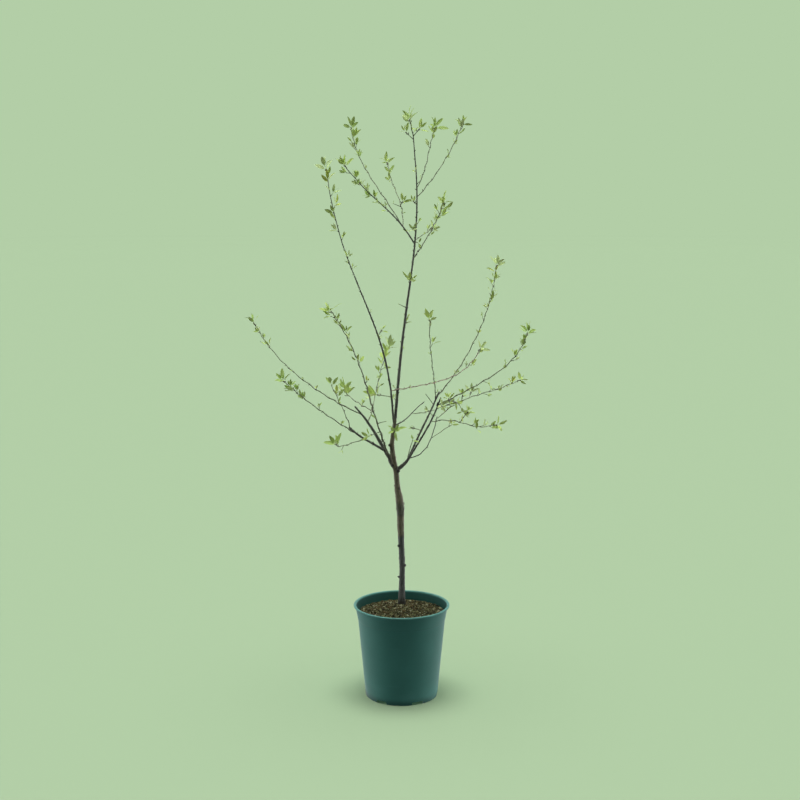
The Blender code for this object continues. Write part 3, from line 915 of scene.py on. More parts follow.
def pot_material(name, colour):
    """Moulded plastic, satin, with fine scuffs and dust at its foot, a painted highlight along the lip,
    and painted shade at the very foot.
    """
    finish = Finish(name, specular=0.12)
    place = finish.object_place()
    height = finish.parts(place)[2]
    clouds = finish.noise(place, 16.0, 4.0)
    scuffs = finish.noise(finish.scaled(place, (24, 24, 300)), 1.0, 4.0)
    specks = finish.noise(place, 700.0, 2.0)
    dust = (1 - finish.smooth(height, 0.0, 0.06)) * finish.smooth(clouds, 0.42, 0.7)
    marks = finish.smooth(scuffs, 0.62, 0.78)
    # Painted shade: the plastic is darker towards the bottom, where the pot meets the floor
    foot_shade = 1 - finish.smooth(height, 0.002, 0.020)
    # Painted highlight: a lighter band along the lip, standing in for light caught on its edge
    rim = finish.smooth(height, POT_HIGH.z - 0.006, POT_HIGH.z - 0.002)
    body = finish.dimmed(colour, (0.84 + 0.32 * clouds) * (1 - 0.45 * foot_shade))
    dusty = tuple(value * 1.4 + 0.03 for value in colour)
    body = finish.mix(dust * 0.35 + marks * 0.16, body, dusty)
    lip_highlight_colour = tuple(value * 1.5 + 0.05 for value in colour)
    body = finish.mix(rim * 0.6, body, lip_highlight_colour)
    finish.paint(body, 0.44 + 0.12 * clouds + 0.12 * marks + 0.15 * dust)
    finish.bump(scuffs * 0.5 + specks * 0.5, 0.00010)
    return finish.material


class PotSettings(bpy.types.PropertyGroup):
    """Sizes and colour of the pot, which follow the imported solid."""

    wall: FloatProperty(
        name="Wall", description="Thickness of the wall", default=0.0018, unit="LENGTH"
    )
    collar_height: FloatProperty(
        name="Collar height",
        description="From the pot's top down to the faint step under its collar",
        default=POT_HIGH.z - 0.1985,
        unit="LENGTH",
    )
    lip: FloatProperty(
        name="Lip", description="Thickness of the lip's edge", default=0.0030, unit="LENGTH"
    )
    base_radius: FloatProperty(
        name="Base radius", description="Radius of the foot", default=0.0918, unit="LENGTH"
    )
    shoulder_radius: FloatProperty(
        name="Shoulder radius",
        description="Radius of the wall just under the collar",
        default=0.1104,
        unit="LENGTH",
    )
    collar_radius: FloatProperty(
        name="Collar radius",
        description="Radius at the collar's foot",
        default=0.1115,
        unit="LENGTH",
    )
    throat_radius: FloatProperty(
        name="Throat radius", description="Radius just under the lip", default=0.1166, unit="LENGTH"
    )
    steps: IntProperty(name="Steps", description="Facets round the pot", default=192)
    notches: IntProperty(name="Notches", description="Drainage notches in the foot", default=6)
    notch_turn: FloatProperty(
        name="Notch turn", description="Where the first is", default=math.radians(-64), unit="ROTATION"
    )
    colour: FloatVectorProperty(
        name="Colour", description="Plastic", default=(0.050, 0.188, 0.154), subtype="COLOR"
    )


class MixSettings(bpy.types.PropertyGroup):
    """The potting mix and the loose pieces on it."""

    edge_height: FloatProperty(
        name="Edge height", description="Of the mix at the wall", default=0.2142, unit="LENGTH"
    )
    crumbs: IntProperty(name="Crumbs", description="Loose pieces on the surface", default=7500)
    crumb_size: FloatProperty(
        name="Crumb size", description="Length of a usual piece", default=0.0033, unit="LENGTH"
    )
    colour: FloatVectorProperty(
        name="Colour", description="Peat and bark", default=(0.048, 0.051, 0.023), subtype="COLOR"
    )


class WoodSettings(bpy.types.PropertyGroup):
    """Bark colours."""

    trunk_foot: FloatVectorProperty(
        name="Trunk foot", description="Low bark", default=(0.078, 0.088, 0.078), subtype="COLOR"
    )
    trunk_top: FloatVectorProperty(
        name="Trunk top", description="High bark", default=(0.150, 0.140, 0.084), subtype="COLOR"
    )
    knee_colour: FloatVectorProperty(
        name="Knee", description="Bark round the knee", default=(0.078, 0.094, 0.060), subtype="COLOR"
    )
    knot_colour: FloatVectorProperty(
        name="Knots", description="Old scars", default=(0.018, 0.018, 0.014), subtype="COLOR"
    )
    # Soil stain and painted shade at the trunk's foot, where it meets the mix
    foot_stain_and_shade_colour: FloatVectorProperty(
        name="Stain", description="Damp foot in the mix", default=(0.030, 0.028, 0.016), subtype="COLOR"
    )
    bough_colour: FloatVectorProperty(
        name="Boughs", description="Bark of boughs", default=(0.078, 0.088, 0.066), subtype="COLOR"
    )
    shoot_colour: FloatVectorProperty(
        name="Shoots", description="Bark of young shoots", default=(0.145, 0.170, 0.095), subtype="COLOR"
    )
    blush_colour: FloatVectorProperty(
        name="Blush", description="Bark of the palest shoots", default=(0.33, 0.25, 0.20), subtype="COLOR"
    )
    cut_colour: FloatVectorProperty(
        name="Cut", description="Wood where a limb was pruned", default=(0.20, 0.15, 0.09), subtype="COLOR"
    )


class LeafSettings(bpy.types.PropertyGroup):
    """Shape and colour of the leaves."""

    slimness: FloatProperty(name="Slimness", description="Width against length", default=0.32)
    colour: FloatVectorProperty(
        name="Colour", description="Fresh leaves", default=(0.38, 0.53, 0.132), subtype="COLOR"
    )


class StageSettings(bpy.types.PropertyGroup):
    """Floor, light and camera."""

    colour: FloatVectorProperty(
        name="Colour", description="Floor and backdrop", default=(0.451, 0.617, 0.386), subtype="COLOR"
    )
    glow: FloatProperty(
        name="Glow", description="Share of the floor's colour that no shadow takes", default=0.02
    )
    front: FloatProperty(name="Front light", description="From the camera's side", default=0.12)
    back: FloatProperty(name="Back light", description="From the sides and behind", default=3.4)
    top: FloatProperty(name="Top light", description="From above", default=8.5)
    distance: FloatProperty(
        name="Distance", description="Camera to the tree", default=3.2, unit="LENGTH"
    )
    height: FloatProperty(
        name="Height", description="Camera above the floor", default=1.23, unit="LENGTH"
    )
    tilt: FloatProperty(
        name="Tilt", description="Camera below level", default=math.radians(8.37), unit="ROTATION"
    )
    lens: FloatProperty(name="Lens", description="Focal length, mm", default=58.63)


GROUPS = {
    "plum_pot": PotSettings,
    "plum_mix": MixSettings,
    "plum_wood": WoodSettings,
    "plum_leaf": LeafSettings,
    "plum_stage": StageSettings,
}


def arc(centre, radius, first, last, count):
    """Points on an arc in the profile's plane, angles in degrees."""
    points = []
    for index in range(count + 1):
        angle = math.radians(first + (last - first) * index / count)
        points.append(
            (centre[0] + radius * math.cos(angle), centre[1] + radius * math.sin(angle))
        )
    return points


def straight(start, end, count):
    """Points from start to end, both left out."""
    start, end = Vector(start), Vector(end)
    return [tuple(start.lerp(end, index / (count + 1))) for index in range(1, count + 1)]


def eased(start, end, count):
    """Points from start to end, with start left out, that leave and arrive upright."""
    points = []
    for index in range(1, count + 1):
        share = index / count
        ease = (1 - math.cos(math.pi * share)) / 2
        radius = start[0] + ease * (end[0] - start[0])
        points.append((radius, start[1] + share * (end[1] - start[1])))
    return points


def pot_profile(pot):
    """The pot's section from the middle of its floor, up inside, over the lip and down outside."""
    top, rim, wall = POT_HIGH.z, POT_HIGH.x, pot.wall
    step = top - pot.collar_height
    floor_top, underside, corner = 0.0100, 0.0080, 0.003
    edge = pot.base_radius - wall
    inner = pot.throat_radius - wall
    roll = 0.0030
    nose = pot.lip / 2
    fillet = rim - pot.throat_radius - 0.4 * nose
    shoulder = 0.0032
    inside = [(0.0, floor_top), (edge - 0.004, floor_top)]
    inside += arc((edge - 0.002, floor_top + corner), corner, -90, 0, 4)
    inside += straight(inside[-1], (pot.shoulder_radius - wall, step), 6)
    inside.append((pot.shoulder_radius - wall, step))
    inside += eased(inside[-1], (pot.collar_radius - wall, step + shoulder), 5)
    inside += straight(inside[-1], (inner, top - roll), 4)
    inside += arc((inner + roll, top - roll), roll, 180, 95, 6)
    over = arc((rim - nose, top - 0.0002 - nose), nose, 88, -75, 8)
    under = arc((pot.throat_radius + fillet, over[-1][1] - fillet), fillet, 85, 180, 8)
    collar = straight(under[-1], (pot.collar_radius, step + shoulder), 5)
    collar.append((pot.collar_radius, step + shoulder))
    collar += eased(collar[-1], (pot.shoulder_radius, step), 6)
    outside = straight(collar[-1], (pot.base_radius, 0.0016), 14)
    outside += arc((pot.base_radius - 0.0010, 0.0010), 0.0010, 0, -90, 3)
    below = [(edge, 0.0), (edge, underside - 0.001)]
    below += [(edge - 0.001, underside), (0.0226, underside)]
    below += [(0.0212, underside - 0.0012), (0.0200, 0.0008), (0.0192, 0.0), (0.0, 0.0)]
    return inside + over + under + collar + outside + below


# Below this depth under the top the inside wall is painted darker, as painted shade, by this share
LIP_DEPTH = 0.0030
INSIDE_SHADE = 0.62


class PLUM_OT_pot(bpy.types.Operator):
    """Turn the pot's shell, with its collar, rolled rim and drainage notches"""

    bl_idname = "plum.pot"
    bl_label = "Pot"

    def execute(self, context):
        pot = context.scene.plum_pot
        bm = bmesh.new()
        points = [bm.verts.new((radius, 0, height)) for radius, height in pot_profile(pot)]
        edges = [bm.edges.new(pair) for pair in zip(points, points[1:])]
        turn_whole(bm, points + edges, pot.steps)
        for face in bm.faces:
            middle = face.calc_center_median()
            inwards = face.normal.x * middle.x + face.normal.y * middle.y < 0
            face.material_index = int(inwards and middle.z < POT_HIGH.z - LIP_DEPTH)
        # Painted shade: the inside wall gets a darker copy of the plastic
        shaded_inside = pot_material("pot_inside", tuple(INSIDE_SHADE * value for value in pot.colour))
        materials = [pot_material("pot_plastic", tuple(pot.colour)), shaded_inside]
        shell = finish_piece("pot_shell", bm, materials, "pot", "pot")
        cut_notches(shell, pot)
        return {"FINISHED"}


def turn_whole(bm, profile, steps):
    """Turn a profile right round the upright axis into a closed shape."""
    middle, axis = (0, 0, 0), (0, 0, 1)
    bmesh.ops.spin(
        bm, geom=profile, cent=middle, axis=axis, angle=math.tau, steps=steps, use_merge=True
    )
    bmesh.ops.remove_doubles(bm, verts=bm.verts, dist=SEAM_WELD)
    bmesh.ops.recalc_face_normals(bm, faces=bm.faces)


def cut_notches(shell, pot):
    """Take the drainage notches out of the pot's foot."""
    bm = bmesh.new()
    bmesh.ops.create_cube(bm, size=1.0)
    bmesh.ops.scale(bm, vec=(0.024, 0.031, 0.0150), verts=bm.verts)
    bmesh.ops.bevel(
        bm,
        geom=bm.edges[:],
        offset=0.003,
        offset_type="OFFSET",
        affect="EDGES",
        segments=3,
        profile=0.5,
        material=-1,
    )
    bmesh.ops.translate(bm, vec=(pot.base_radius, 0, 0), verts=bm.verts)
    block = bm.verts[:] + bm.edges[:] + bm.faces[:]
    for index in range(pot.notches):
        made = bmesh.ops.duplicate(bm, geom=block)["geom"]
        turn = Matrix.Rotation(pot.notch_turn + index * math.tau / pot.notches, 3, "Z")
        copied = [part for part in made if isinstance(part, bmesh.types.BMVert)]
        bmesh.ops.rotate(bm, cent=(0, 0, 0), matrix=turn, verts=copied)
    bmesh.ops.delete(bm, geom=block, context="VERTS")
    mesh = bpy.data.meshes.new("notches")
    bm.to_mesh(mesh)
    bm.free()
    cutter = bpy.data.objects.new("notches", mesh)
    bpy.context.scene.collection.objects.link(cutter)
    boolean = shell.modifiers.new("notches", "BOOLEAN")
    boolean.operation = "DIFFERENCE"
    boolean.solver = "EXACT"
    boolean.object = cutter
    graph = bpy.context.evaluated_depsgraph_get()
    done = bpy.data.meshes.new_from_object(shell.evaluated_get(graph))
    shell.modifiers.clear()
    shell.data = done
    bpy.data.objects.remove(cutter)
    if max(vertex.co.z for vertex in done.vertices) < POT_HIGH.z / 2:
        raise RuntimeError("the pot's shell was lost when its notches were cut")
    done.set_sharp_from_angle(angle=math.radians(40))


def mix_height(x, y, edge):
    """Height of the potting mix's surface above a place in the pot."""
    share = min(math.hypot(x, y) / MIX_HIGH.x, 1)
    mound = MIX_HIGH.z - (MIX_HIGH.z - edge) * (1 - math.cos(math.pi * share)) / 2
    lumps = noise.fractal(Vector((x * 75, y * 75, 4.0)), 0.7, 2.1, 4)
    grains = noise.noise(Vector((x * 420, y * 420, 9.0)))
    return mound + 0.0022 * lumps + 0.0007 * grains - 0.0012


class PLUM_OT_mix(bpy.types.Operator):
    """Lay the potting mix: a lumpy bed and the loose pieces on it"""

    bl_idname = "plum.mix"
    bl_label = "Potting mix"

    def execute(self, context):
        settings = context.scene.plum_mix
        colour = tuple(settings.colour)
        bm = bmesh.new()
        bmesh.ops.create_grid(bm, x_segments=130, y_segments=130, size=1.0)
        reach = MIX_HIGH.x - 0.0004
        for vert in bm.verts:
            x, y = vert.co.x, vert.co.y
            vert.co.x = reach * x * math.sqrt(1 - y * y / 2)
            vert.co.y = reach * y * math.sqrt(1 - x * x / 2)
            vert.co.z = mix_height(vert.co.x, vert.co.y, settings.edge_height)
        pot = context.scene.plum_pot
        clear = pot.wall + 0.0006
        turns = [(POT_HIGH.z - pot.collar_height, pot.shoulder_radius - clear)]
        turns.append((MIX_LOW.z + 0.001, pot.base_radius - clear))
        for height, radius in turns:
            edges = [edge for edge in bm.edges if edge.is_boundary]
            skirt = bmesh.ops.extrude_edge_only(bm, edges=edges)["geom"]
            lowered = [part for part in skirt if isinstance(part, bmesh.types.BMVert)]
            for vert in lowered:
                vert.co.z = 0
                vert.co = radius * vert.co.normalized()
                vert.co.z = height
        bottom = [edge for edge in bm.edges if edge.is_boundary]
        bmesh.ops.edgeloop_fill(bm, edges=bottom)
        bmesh.ops.recalc_face_normals(bm, faces=bm.faces)
        bed = speckled_material("peat", colour, 0.6, 190.0, 0.9, 0.0012)
        finish_piece("potting_mix_bed", bm, [bed], "potting_mix", "potting_mix")
        add_crumbs(settings, colour)
        return {"FINISHED"}


LARGEST_CRUMB = 0.010


def add_crumbs(settings, colour):
    """Scatter the loose pieces: dark peat, brown bark and a few pale bits."""
    dice = random.Random(11)
    tints = [
        speckled_material("dark_crumb", tuple(value * 0.5 for value in colour), 0.4, 300, 0.9, 0.0004),
        speckled_material("brown_crumb", (0.092, 0.072, 0.031), 0.4, 300, 0.85, 0.0004),
        speckled_material("tan_crumb", (0.175, 0.185, 0.080), 0.35, 300, 0.85, 0.0004),
        speckled_material("pale_crumb", (0.33, 0.34, 0.20), 0.25, 300, 0.8, 0.0004),
    ]
    heap = Heap()
    for _ in range(settings.crumbs):
        bm = heap.room()
        radius = (MIX_HIGH.x - 0.004) * math.sqrt(dice.random())
        angle = dice.uniform(0, math.tau)
        x, y = radius * math.cos(angle), radius * math.sin(angle)
        size = min(settings.crumb_size * dice.lognormvariate(-0.2, 0.45), LARGEST_CRUMB)
        crumb = bmesh.ops.create_icosphere(bm, subdivisions=1, radius=0.5)["verts"]
        for vert in crumb:
            vert.co *= 1 + dice.uniform(-0.25, 0.25)
        wide, thick = dice.uniform(0.4, 0.85), dice.uniform(0.25, 0.6)
        shape = Matrix.Diagonal((size, size * wide, size * thick, 1))
        turn = Matrix.Rotation(dice.uniform(0, math.tau), 4, "Z")
        turn @= Matrix.Rotation(dice.gauss(0, 0.4), 4, "X")
        place = Matrix.Translation((x, y, mix_height(x, y, settings.edge_height) + size * 0.12))
        bmesh.ops.transform(bm, matrix=place @ turn @ shape, verts=crumb)
        tint = dice.choices(range(4), weights=(36, 34, 22, 8))[0]
        for face in {face for vert in crumb for face in vert.link_faces}:
            face.material_index = tint
    finish_piece("potting_mix_crumbs", heap.gather(), tints, "potting_mix")


class PLUM_OT_wood(bpy.types.Operator):
    """Grow the trunk, the boughs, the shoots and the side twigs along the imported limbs"""

    bl_idname = "plum.wood"
    bl_label = "Trunk, boughs and shoots"

    def execute(self, context):
        limbs = all_limbs()
        bark = bark_material(context.scene.plum_wood)
        fork = []
        for name, limb in limbs.items():
            if name in FORK:
                fork.append(Stretch(limb, 0.0, min(FORK[name], limb.length)))
            if name in STUBS and on_fork(STUBS[name]):
                fork.append(Stretch(limb))
        finish_piece("trunk_and_fork", wood_skin(fork, FORK_VOXEL), [bark], "trunk_bark", "trunk")
        boughs = [name for name in WOODY_NODES if name.endswith("_bough")] + ["leader"]
        going_on = [Stretch(limbs[n], beyond_fork(n)) for n in boughs if n != "right_bough"]
        going_on += [Stretch(limbs[name]) for name, stub in STUBS.items() if not on_fork(stub)]
        skin = wood_skin(going_on, BOUGH_VOXEL)
        finish_piece("long_boughs", skin, [bark], "bough_bark", *boughs)
        bm = wood_bmesh()
        shoots = [name for name in WOODY_NODES if name.endswith("_shoot")]
        for name in shoots + list(TWIGS):
            sides = 12 if limbs[name].radii[0] > 0.0016 else 9
            add_tube(bm, Stretch(limbs[name], beyond_fork(name)), 0.0018, sides, 1.0)
        bmesh.ops.recalc_face_normals(bm, faces=bm.faces)
        finish_piece("shoots_and_twigs", bm, [bark], "shoot_bark", *shoots)
        return {"FINISHED"}


def on_fork(stub):
    """Whether a stub grows from the part of its limb that is in the fork's skin."""
    return stub.at < FORK[stub.limb]


def beyond_fork(name):
    """Where the part of a limb that isn't in the fork's skin begins."""
    return FORK[name] - OVERLAP if name in FORK else 0.0


def add_bud(bm, place, heading, length, width, material):
    """A small pointed bud that grows from a place along a heading."""
    ball = bmesh.ops.create_uvsphere(bm, u_segments=6, v_segments=5, radius=0.5)["verts"]
    turn = heading.to_track_quat("Z", "Y").to_matrix().to_4x4()
    for vert in ball:
        up = vert.co.z + 0.5
        thin = 1 - 0.55 * up
        vert.co = Vector((vert.co.x * width * thin, vert.co.y * width * thin, up * length))
    bmesh.ops.transform(bm, matrix=Matrix.Translation(place) @ turn, verts=ball)
    for face in {face for vert in ball for face in vert.link_faces}:
        face.material_index = material


def add_spur(bm, place, heading, length, radius):
    """A short woody spur."""
    turn = heading.to_track_quat("Z", "Y").to_matrix().to_4x4()
    middle = place + heading * length / 2
    bmesh.ops.create_cone(
        bm,
        cap_ends=True,
        segments=7,
        radius1=radius,
        radius2=radius * 0.7,
        depth=length,
        matrix=Matrix.Translation(middle) @ turn,
    )


# A leaf's faces along and across it, the share of it that is stalk, and the stalk's width
LEAF_ROWS = 9
LEAF_COLUMNS = 4
STALK_SHARE = 0.16
STALK_WIDTH = 0.07
# What the outline's formula comes to where the leaf is widest
WIDEST = 0.4016


def leaf_outline(share):
    """How wide a leaf is against its widest, at a share of its length from the stalk's foot."""
    if share <= STALK_SHARE:
        return STALK_WIDTH
    blade = (share - STALK_SHARE) / (1 - STALK_SHARE)
    return max(blade, 0) ** 0.55 * max(1 - blade, 0) ** 0.8 / WIDEST


def add_leaf(bm, place, heading, facing, length, width, dice):
    """A pointed oval leaf, folded along its midrib, that bends back towards its tip."""
    made = bmesh.ops.create_grid(
        bm, x_segments=LEAF_COLUMNS, y_segments=LEAF_ROWS, size=0.5, calc_uvs=True
    )["verts"]
    side = heading.cross(facing).normalized()
    normal = side.cross(heading).normalized()
    fold = math.radians(dice.uniform(4, 16))
    curl = dice.uniform(0.1, 0.7)
    twist = dice.uniform(-0.5, 0.5)
    ripple = dice.uniform(0.0, 0.09) * width
    phase = dice.uniform(0, math.tau)
    for vert in made:
        share = vert.co.y + 0.5
        off = 2 * vert.co.x
        half = 0.5 * width * leaf_outline(share)
        if abs(off) > 0.9:
            half *= 1.04 if round(share * LEAF_ROWS) % 2 else 0.94
        bend = curl * share
        turn = twist * share
        spread = math.cos(turn) * side + math.sin(turn) * normal
        rise = math.cos(turn) * normal - math.sin(turn) * side
        vert.co = (
            place
            + heading * (length * math.sin(bend) / curl)
            - normal * (length * (1 - math.cos(bend)) / curl)
            + spread * (half * off * math.cos(fold))
            + rise * (half * abs(off) * math.sin(fold))
            + normal * (ripple * off * off * math.sin(5 * share + phase) * leaf_outline(share))
        )
    return made


# The woody knob under a tuft
KNOB_LENGTH = 0.0062
KNOB_WIDTH = 0.0042

# How wide sprays open at a tip and beside a shoot, how far they turn up, and a tuft's spurs
TIP_OPENING = math.radians(72)
SIDE_OPENING = math.radians(50)
TIP_RISE = 0.30
SIDE_RISE = 0.50
TIP_SPURS = 3
LEAF_ROLL = 0.65


def leaf_bmesh():
    """A bmesh whose faces know where they lie on their leaf."""
    bm = bmesh.new()
    bm.loops.layers.uv.new("leaf")
    return bm


class Growth:
    """The leaves, buds and spurs as they grow."""

    def __init__(self, settings):
        self.slimness = settings.slimness
        self.leaves = Heap(leaf_bmesh)
        self.buds = Heap()
        self.spurs = Heap(wood_bmesh)

    def spray(self, place, axis, count, size, opening, rise, dice, tint=None, turn=None):
        """A spray of leaves round an axis, the outer ones wider open, all turned up by rise."""
        if tint is None:
            tint = dice.choices(range(5), weights=(50, 15, 9, 24, 2))[0]
        side = broadside(axis)
        if turn is None:
            turn = dice.uniform(0, math.tau)
        up = Vector((0, 0, rise))
        for index in range(count):
            turn += BUD_TURN + dice.uniform(-0.35, 0.35)
            share = index / max(count - 1, 1)
            tilt = opening * (1 - 0.8 * share) * dice.uniform(0.7, 1.2)
            out = (math.cos(turn) * side + math.sin(turn) * axis.cross(side)).normalized()
            heading = (math.cos(tilt) * axis + math.sin(tilt) * out + up).normalized()
            facing = axis * math.sin(tilt) - out * math.cos(tilt)
            facing.rotate(Matrix.Rotation(dice.gauss(0, LEAF_ROLL), 3, heading))
            length = size * dice.uniform(0.76, 1.10) * (1 - 0.25 * share * dice.random())
            width = length * self.slimness * dice.uniform(0.75, 1.15)
            foot = place + axis * (0.22 * size * share) + out * 0.0004
            made = add_leaf(self.leaves.room(), foot, heading, facing, length, width, dice)
            for face in {face for vert in made for face in vert.link_faces}:
                face.material_index = tint

    def bud(self, place, heading, dice, green=0.3):
        """A bud, brown or already green."""
        length = dice.uniform(0.0024, 0.0042)
        add_bud(self.buds.room(), place, heading, length, 0.0021, int(dice.random() < green))

    def spur(self, place, heading, length, radius):
        """A spur on a limb, and where it ends."""
        add_spur(self.spurs.room(), place - heading * 0.0008, heading, length, radius)
        return place + heading * (length - 0.0008)

    def along(self, limb, tuft):
        """Set a bud or a spray at every bud of a limb, and a tuft at its tip."""
        dice = random.Random(limb.name + " growth")
        leafy = limb.leafy_from
        run = limb.length - leafy
        for distance, angle in zip(*limb.buds):
            middle, ahead, side, other = limb.frame(distance)
            out = math.cos(angle) * side + math.sin(angle) * other
            place = middle + out * limb.bark(distance, angle) * 0.9
            heading = (out + ahead * dice.uniform(0.7, 1.3)).normalized()
            leafiness = soft_step(distance, leafy - 0.55 * run, limb.length)
            if dice.random() > 0.12 + 1.0 * leafiness * (0.45 + 0.55 * tuft.lush):
                if dice.random() < 0.8:
                    self.bud(place, heading, dice)
                continue
            if dice.random() < 0.45 + 0.3 * leafiness:
                place = self.spur(place, heading, dice.uniform(0.003, 0.010), 0.0009)
            size = tuft.leaf * (0.38 + 0.40 * leafiness) * dice.uniform(0.75, 1.25)
            count = dice.randint(2, 3 + round(3 * leafiness * tuft.lush))
            self.spray(place, heading, count, size, SIDE_OPENING, SIDE_RISE, dice)
            self.bud(place, heading, dice, 0.15)
        self.tip(limb, tuft.count, tuft.leaf, dice)

    def tip(self, limb, count, size, dice, tint=None):
        """A tuft at a limb's tip: the leaves round the last bud, and two scales under it."""
        place, ahead, side, other = limb.frame(limb.length)
        for index in range(TIP_SPURS if count > TIP_SPURS else 0):
            turn = index * BUD_TURN
            out = math.cos(turn) * side + math.sin(turn) * other
            heading = (0.5 * ahead + out).normalized()
            foot = place - ahead * (0.002 + 0.003 * index)
            end = self.spur(foot, heading, dice.uniform(0.002, 0.0050), 0.0013)
            self.bud(end, (heading + ahead).normalized(), dice, 0.1)
        turn = dice.uniform(-0.4, 0.4) - BUD_TURN
        self.spray(place, ahead, count, size, TIP_OPENING, TIP_RISE, dice, tint, turn)
        if count > TIP_SPURS:
            add_bud(self.buds.room(), place - ahead * 0.0025, ahead, KNOB_LENGTH, KNOB_WIDTH, 0)
        self.bud(place, ahead, dice, 0.7)


class PLUM_OT_leaves(bpy.types.Operator):
    """Grow buds, spurs, sprays and tufts of leaves along the shoots"""

    bl_idname = "plum.leaves"
    bl_label = "Leaves, buds and spurs"

    def execute(self, context):
        settings = context.scene.plum_leaf
        growth = Growth(settings)
        limbs = all_limbs()
        for name, tuft in TUFTS.items():
            growth.along(limbs[name], tuft)
        for name, twig in TWIGS.items():
            dice = random.Random(name + " growth")
            growth.tip(limbs[name], twig.leaves, twig.size, dice, twig.tint)
        for name in WOODY_NODES:
            if name not in TUFTS and name != "trunk":
                bare_buds(growth, limbs[name])
        spurs, leaves = growth.spurs.gather(), growth.leaves.gather()
        for vert in spurs.verts:
            vert[spurs.verts.layers.float["kind"]] = SHOOT
            vert[spurs.verts.layers.float_vector["grain"]] = vert.co
        bmesh.ops.remove_doubles(leaves, verts=leaves.verts, dist=0.0000001)
        finish_piece("leaves", leaves, leaf_tints(settings), "leaves", *LEAFY_NODES)
        brown = speckled_material("bud_scales", (0.070, 0.050, 0.032), 0.4, 900.0, 0.55, 0.0001)
        green = speckled_material("bud_green", (0.26, 0.33, 0.08), 0.3, 900.0, 0.5, 0.0001)
        finish_piece("buds", growth.buds.gather(), [brown, green], "shoot_bark")
        finish_piece("spurs", spurs, [bpy.data.materials["bark"]], "shoot_bark")
        return {"FINISHED"}


def bare_buds(growth, limb):
    """A few buds on a bough that has no leaves."""
    dice = random.Random(limb.name + " bare")
    for distance, angle in zip(*limb.buds):
        middle, ahead, side, other = limb.frame(distance)
        out = math.cos(angle) * side + math.sin(angle) * other
        if dice.random() < 0.3:
            place = middle + out * limb.bark(distance, angle) * 0.92
            growth.bud(place, (out + ahead).normalized(), dice, 0.2)


def leaf_tints(settings):
    """The leaf materials: fresh, pale, yellow, deep and bronze, each dealt out by spray."""
    red, green, blue = settings.colour
    tints = {
        "fresh_leaf": (red, green, blue),
        "pale_leaf": (red * 1.12, green * 1.06, blue * 1.7),
        "yellow_leaf": (red * 1.14, green * 1.04, blue * 0.85),
        "deep_leaf": (red * 0.84, green * 0.89, blue * 0.90),
        "bronze_leaf": (red * 1.12, green * 0.86, blue * 1.6),
    }
    return [leaf_material(name, colour) for name, colour in tints.items()]


class PLUM_OT_stage(bpy.types.Operator):
    """Set up the floor, the backdrop, the light and the camera"""

    bl_idname = "plum.stage"
    bl_label = "Stage"

    def execute(self, context):
        stage = context.scene.plum_stage
        add_floor(stage)
        add_world(stage)
        camera = bpy.data.cameras.new("camera")
        camera.lens = stage.lens
        camera.sensor_width = 36.0
        view = bpy.data.objects.new("camera", camera)
        view.location = (-0.004, -stage.distance, stage.height)
        view.rotation_euler = (math.pi / 2 - stage.tilt, 0, 0)
        context.scene.collection.objects.link(view)
        context.scene.camera = view
        context.scene.view_settings.view_transform = "Standard"
        return {"FINISHED"}


FAR = 60.0

# What the light's sampling takes from the floor's brightness, given back so that it meets the dome
FLOOR_LIFT = 1.006

# Between these distances the floor's own glow takes over from the light on it
FADE = 25.0, 55.0


def add_floor(stage):
    """A wide floor that takes soft shadows, and a plain dome behind it that only the eye meets."""
    colour = tuple(stage.colour)
    bm = bmesh.new()
    bmesh.ops.create_circle(bm, cap_ends=True, segments=96, radius=FAR)
    albedo = FLOOR_LIFT * (1 - stage.glow) / floor_light(stage)
    floor = stage_piece("floor", bm, colour, stage.glow, albedo, FADE)
    bm = bmesh.new()
    bmesh.ops.create_uvsphere(bm, u_segments=64, v_segments=32, radius=FAR * 0.98)
    dome = stage_piece("dome", bm, colour, 1.0, 0.0, (0.0, 1.0))
    for piece in (floor, dome):
        piece.visible_diffuse = False
        piece.visible_glossy = False
        piece.visible_transmission = False
        piece.visible_shadow = False


def stage_piece(name, bm, colour, glow, albedo, fade):
    """A stage object that glows with a share of the colour and takes light with the rest.

    From the first distance of the fade to the second it goes over to all glow.
    """
    mesh = bpy.data.meshes.new(name)
    bm.to_mesh(mesh)
    bm.free()
    mesh.shade_smooth()
    finish = Finish(name, roughness=1.0, specular=0.0)
    x, y, _ = finish.parts(finish.object_place())
    near = 1 - finish.smooth(x * x + y * y, fade[0] ** 2, fade[1] ** 2)
    finish.paint(finish.dimmed(tuple(albedo * value for value in colour), near))
    finish.feed(finish.surface["Emission Color"], finish.dimmed(colour, 1 - (1 - glow) * near))
    finish.surface["Emission Strength"].default_value = 1.0
    mesh.materials.append(finish.material)
    obj = bpy.data.objects.new(name, mesh)
    bpy.context.scene.collection.objects.link(obj)
    return obj


def panels(stage, direction, smooth, most):
    """How bright the studio is in a direction: low panels at the sides and behind, one overhead.

    The direction's parts are numbers or wires, and smooth and most are the ways to treat them.
    """
    x, y, z = direction
    behind = smooth(y, -0.12, 0.14)
    sides = smooth(abs(x), 0.70, 0.96)
    low = 1 - smooth(z, 0.08, 0.28)
    overhead = smooth(z, 0.88, 0.99)
    under = smooth(z, -0.25, 0.0)
    level = stage.front + most(behind, sides) * low * (stage.back - stage.front)
    return (level + overhead * stage.top) * (0.35 + 0.65 * under)


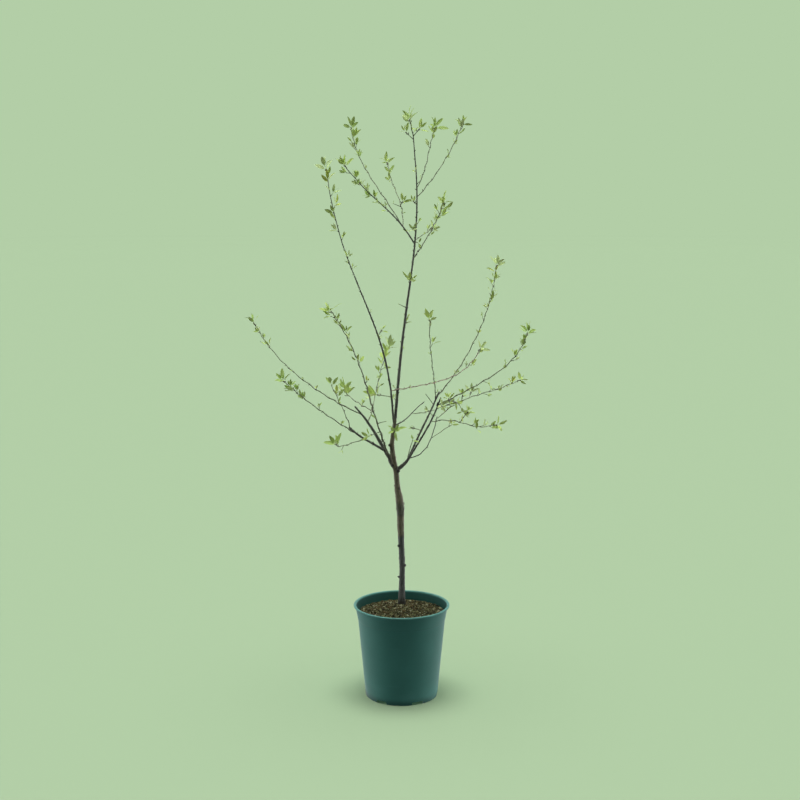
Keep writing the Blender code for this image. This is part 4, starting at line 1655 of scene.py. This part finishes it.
def floor_light(stage, rings=160, turns=80):
    """The studio's light on an open floor, as a share of what lights white paper fully."""
    total = 0.0
    for ring in range(rings):
        spread = math.sqrt((ring + 0.5) / rings)
        for turn in range(turns):
            angle = math.tau * turn / turns
            ray = spread * math.cos(angle), spread * math.sin(angle), math.sqrt(1 - spread * spread)
            total += panels(stage, ray, soft_step, max)
    return total / (rings * turns)


def add_world(stage):
    """Plain soft studio light."""
    world = bpy.data.worlds.new("studio")
    world.use_nodes = True
    graph = Graph(world.node_tree)
    direction = graph.parts(graph.node("ShaderNodeTexCoord"))
    light = world.node_tree.nodes["Background"]
    light.inputs["Color"].default_value = (1.0, 1.0, 1.0, 1.0)
    graph.feed(light.inputs["Strength"], panels(stage, direction, graph.smooth, graph.most))
    bpy.context.scene.world = world


OPERATORS = (PLUM_OT_stage, PLUM_OT_pot, PLUM_OT_mix, PLUM_OT_wood, PLUM_OT_leaves)


class PLUM_PT_panel(bpy.types.Panel):
    """Lists the pieces and their settings"""

    bl_label = "Plum tree"
    bl_idname = "PLUM_PT_panel"
    bl_space_type = "VIEW_3D"
    bl_region_type = "UI"
    bl_category = "Plum Tree"

    def draw(self, context):
        for operator in OPERATORS:
            self.layout.operator(operator.bl_idname)
        for group in GROUPS:
            settings = getattr(context.scene, group)
            box = self.layout.box()
            for name in settings.bl_rna.properties.keys():
                if name not in ("rna_type", "name"):
                    box.prop(settings, name)


def register():
    for group in GROUPS.values():
        bpy.utils.register_class(group)
    for name, group in GROUPS.items():
        setattr(bpy.types.Scene, name, PointerProperty(type=group))
    for operator in OPERATORS:
        bpy.utils.register_class(operator)
    bpy.utils.register_class(PLUM_PT_panel)


def unregister():
    bpy.utils.unregister_class(PLUM_PT_panel)
    for operator in reversed(OPERATORS):
        bpy.utils.unregister_class(operator)
    for name in GROUPS:
        delattr(bpy.types.Scene, name)
    for group in reversed(GROUPS.values()):
        bpy.utils.unregister_class(group)


def main():
    """Build every piece in order."""
    register()
    bpy.ops.plum.stage()
    bpy.ops.plum.pot()
    bpy.ops.plum.mix()
    bpy.ops.plum.wood()
    bpy.ops.plum.leaves()


if __name__ == "__main__":
    main()
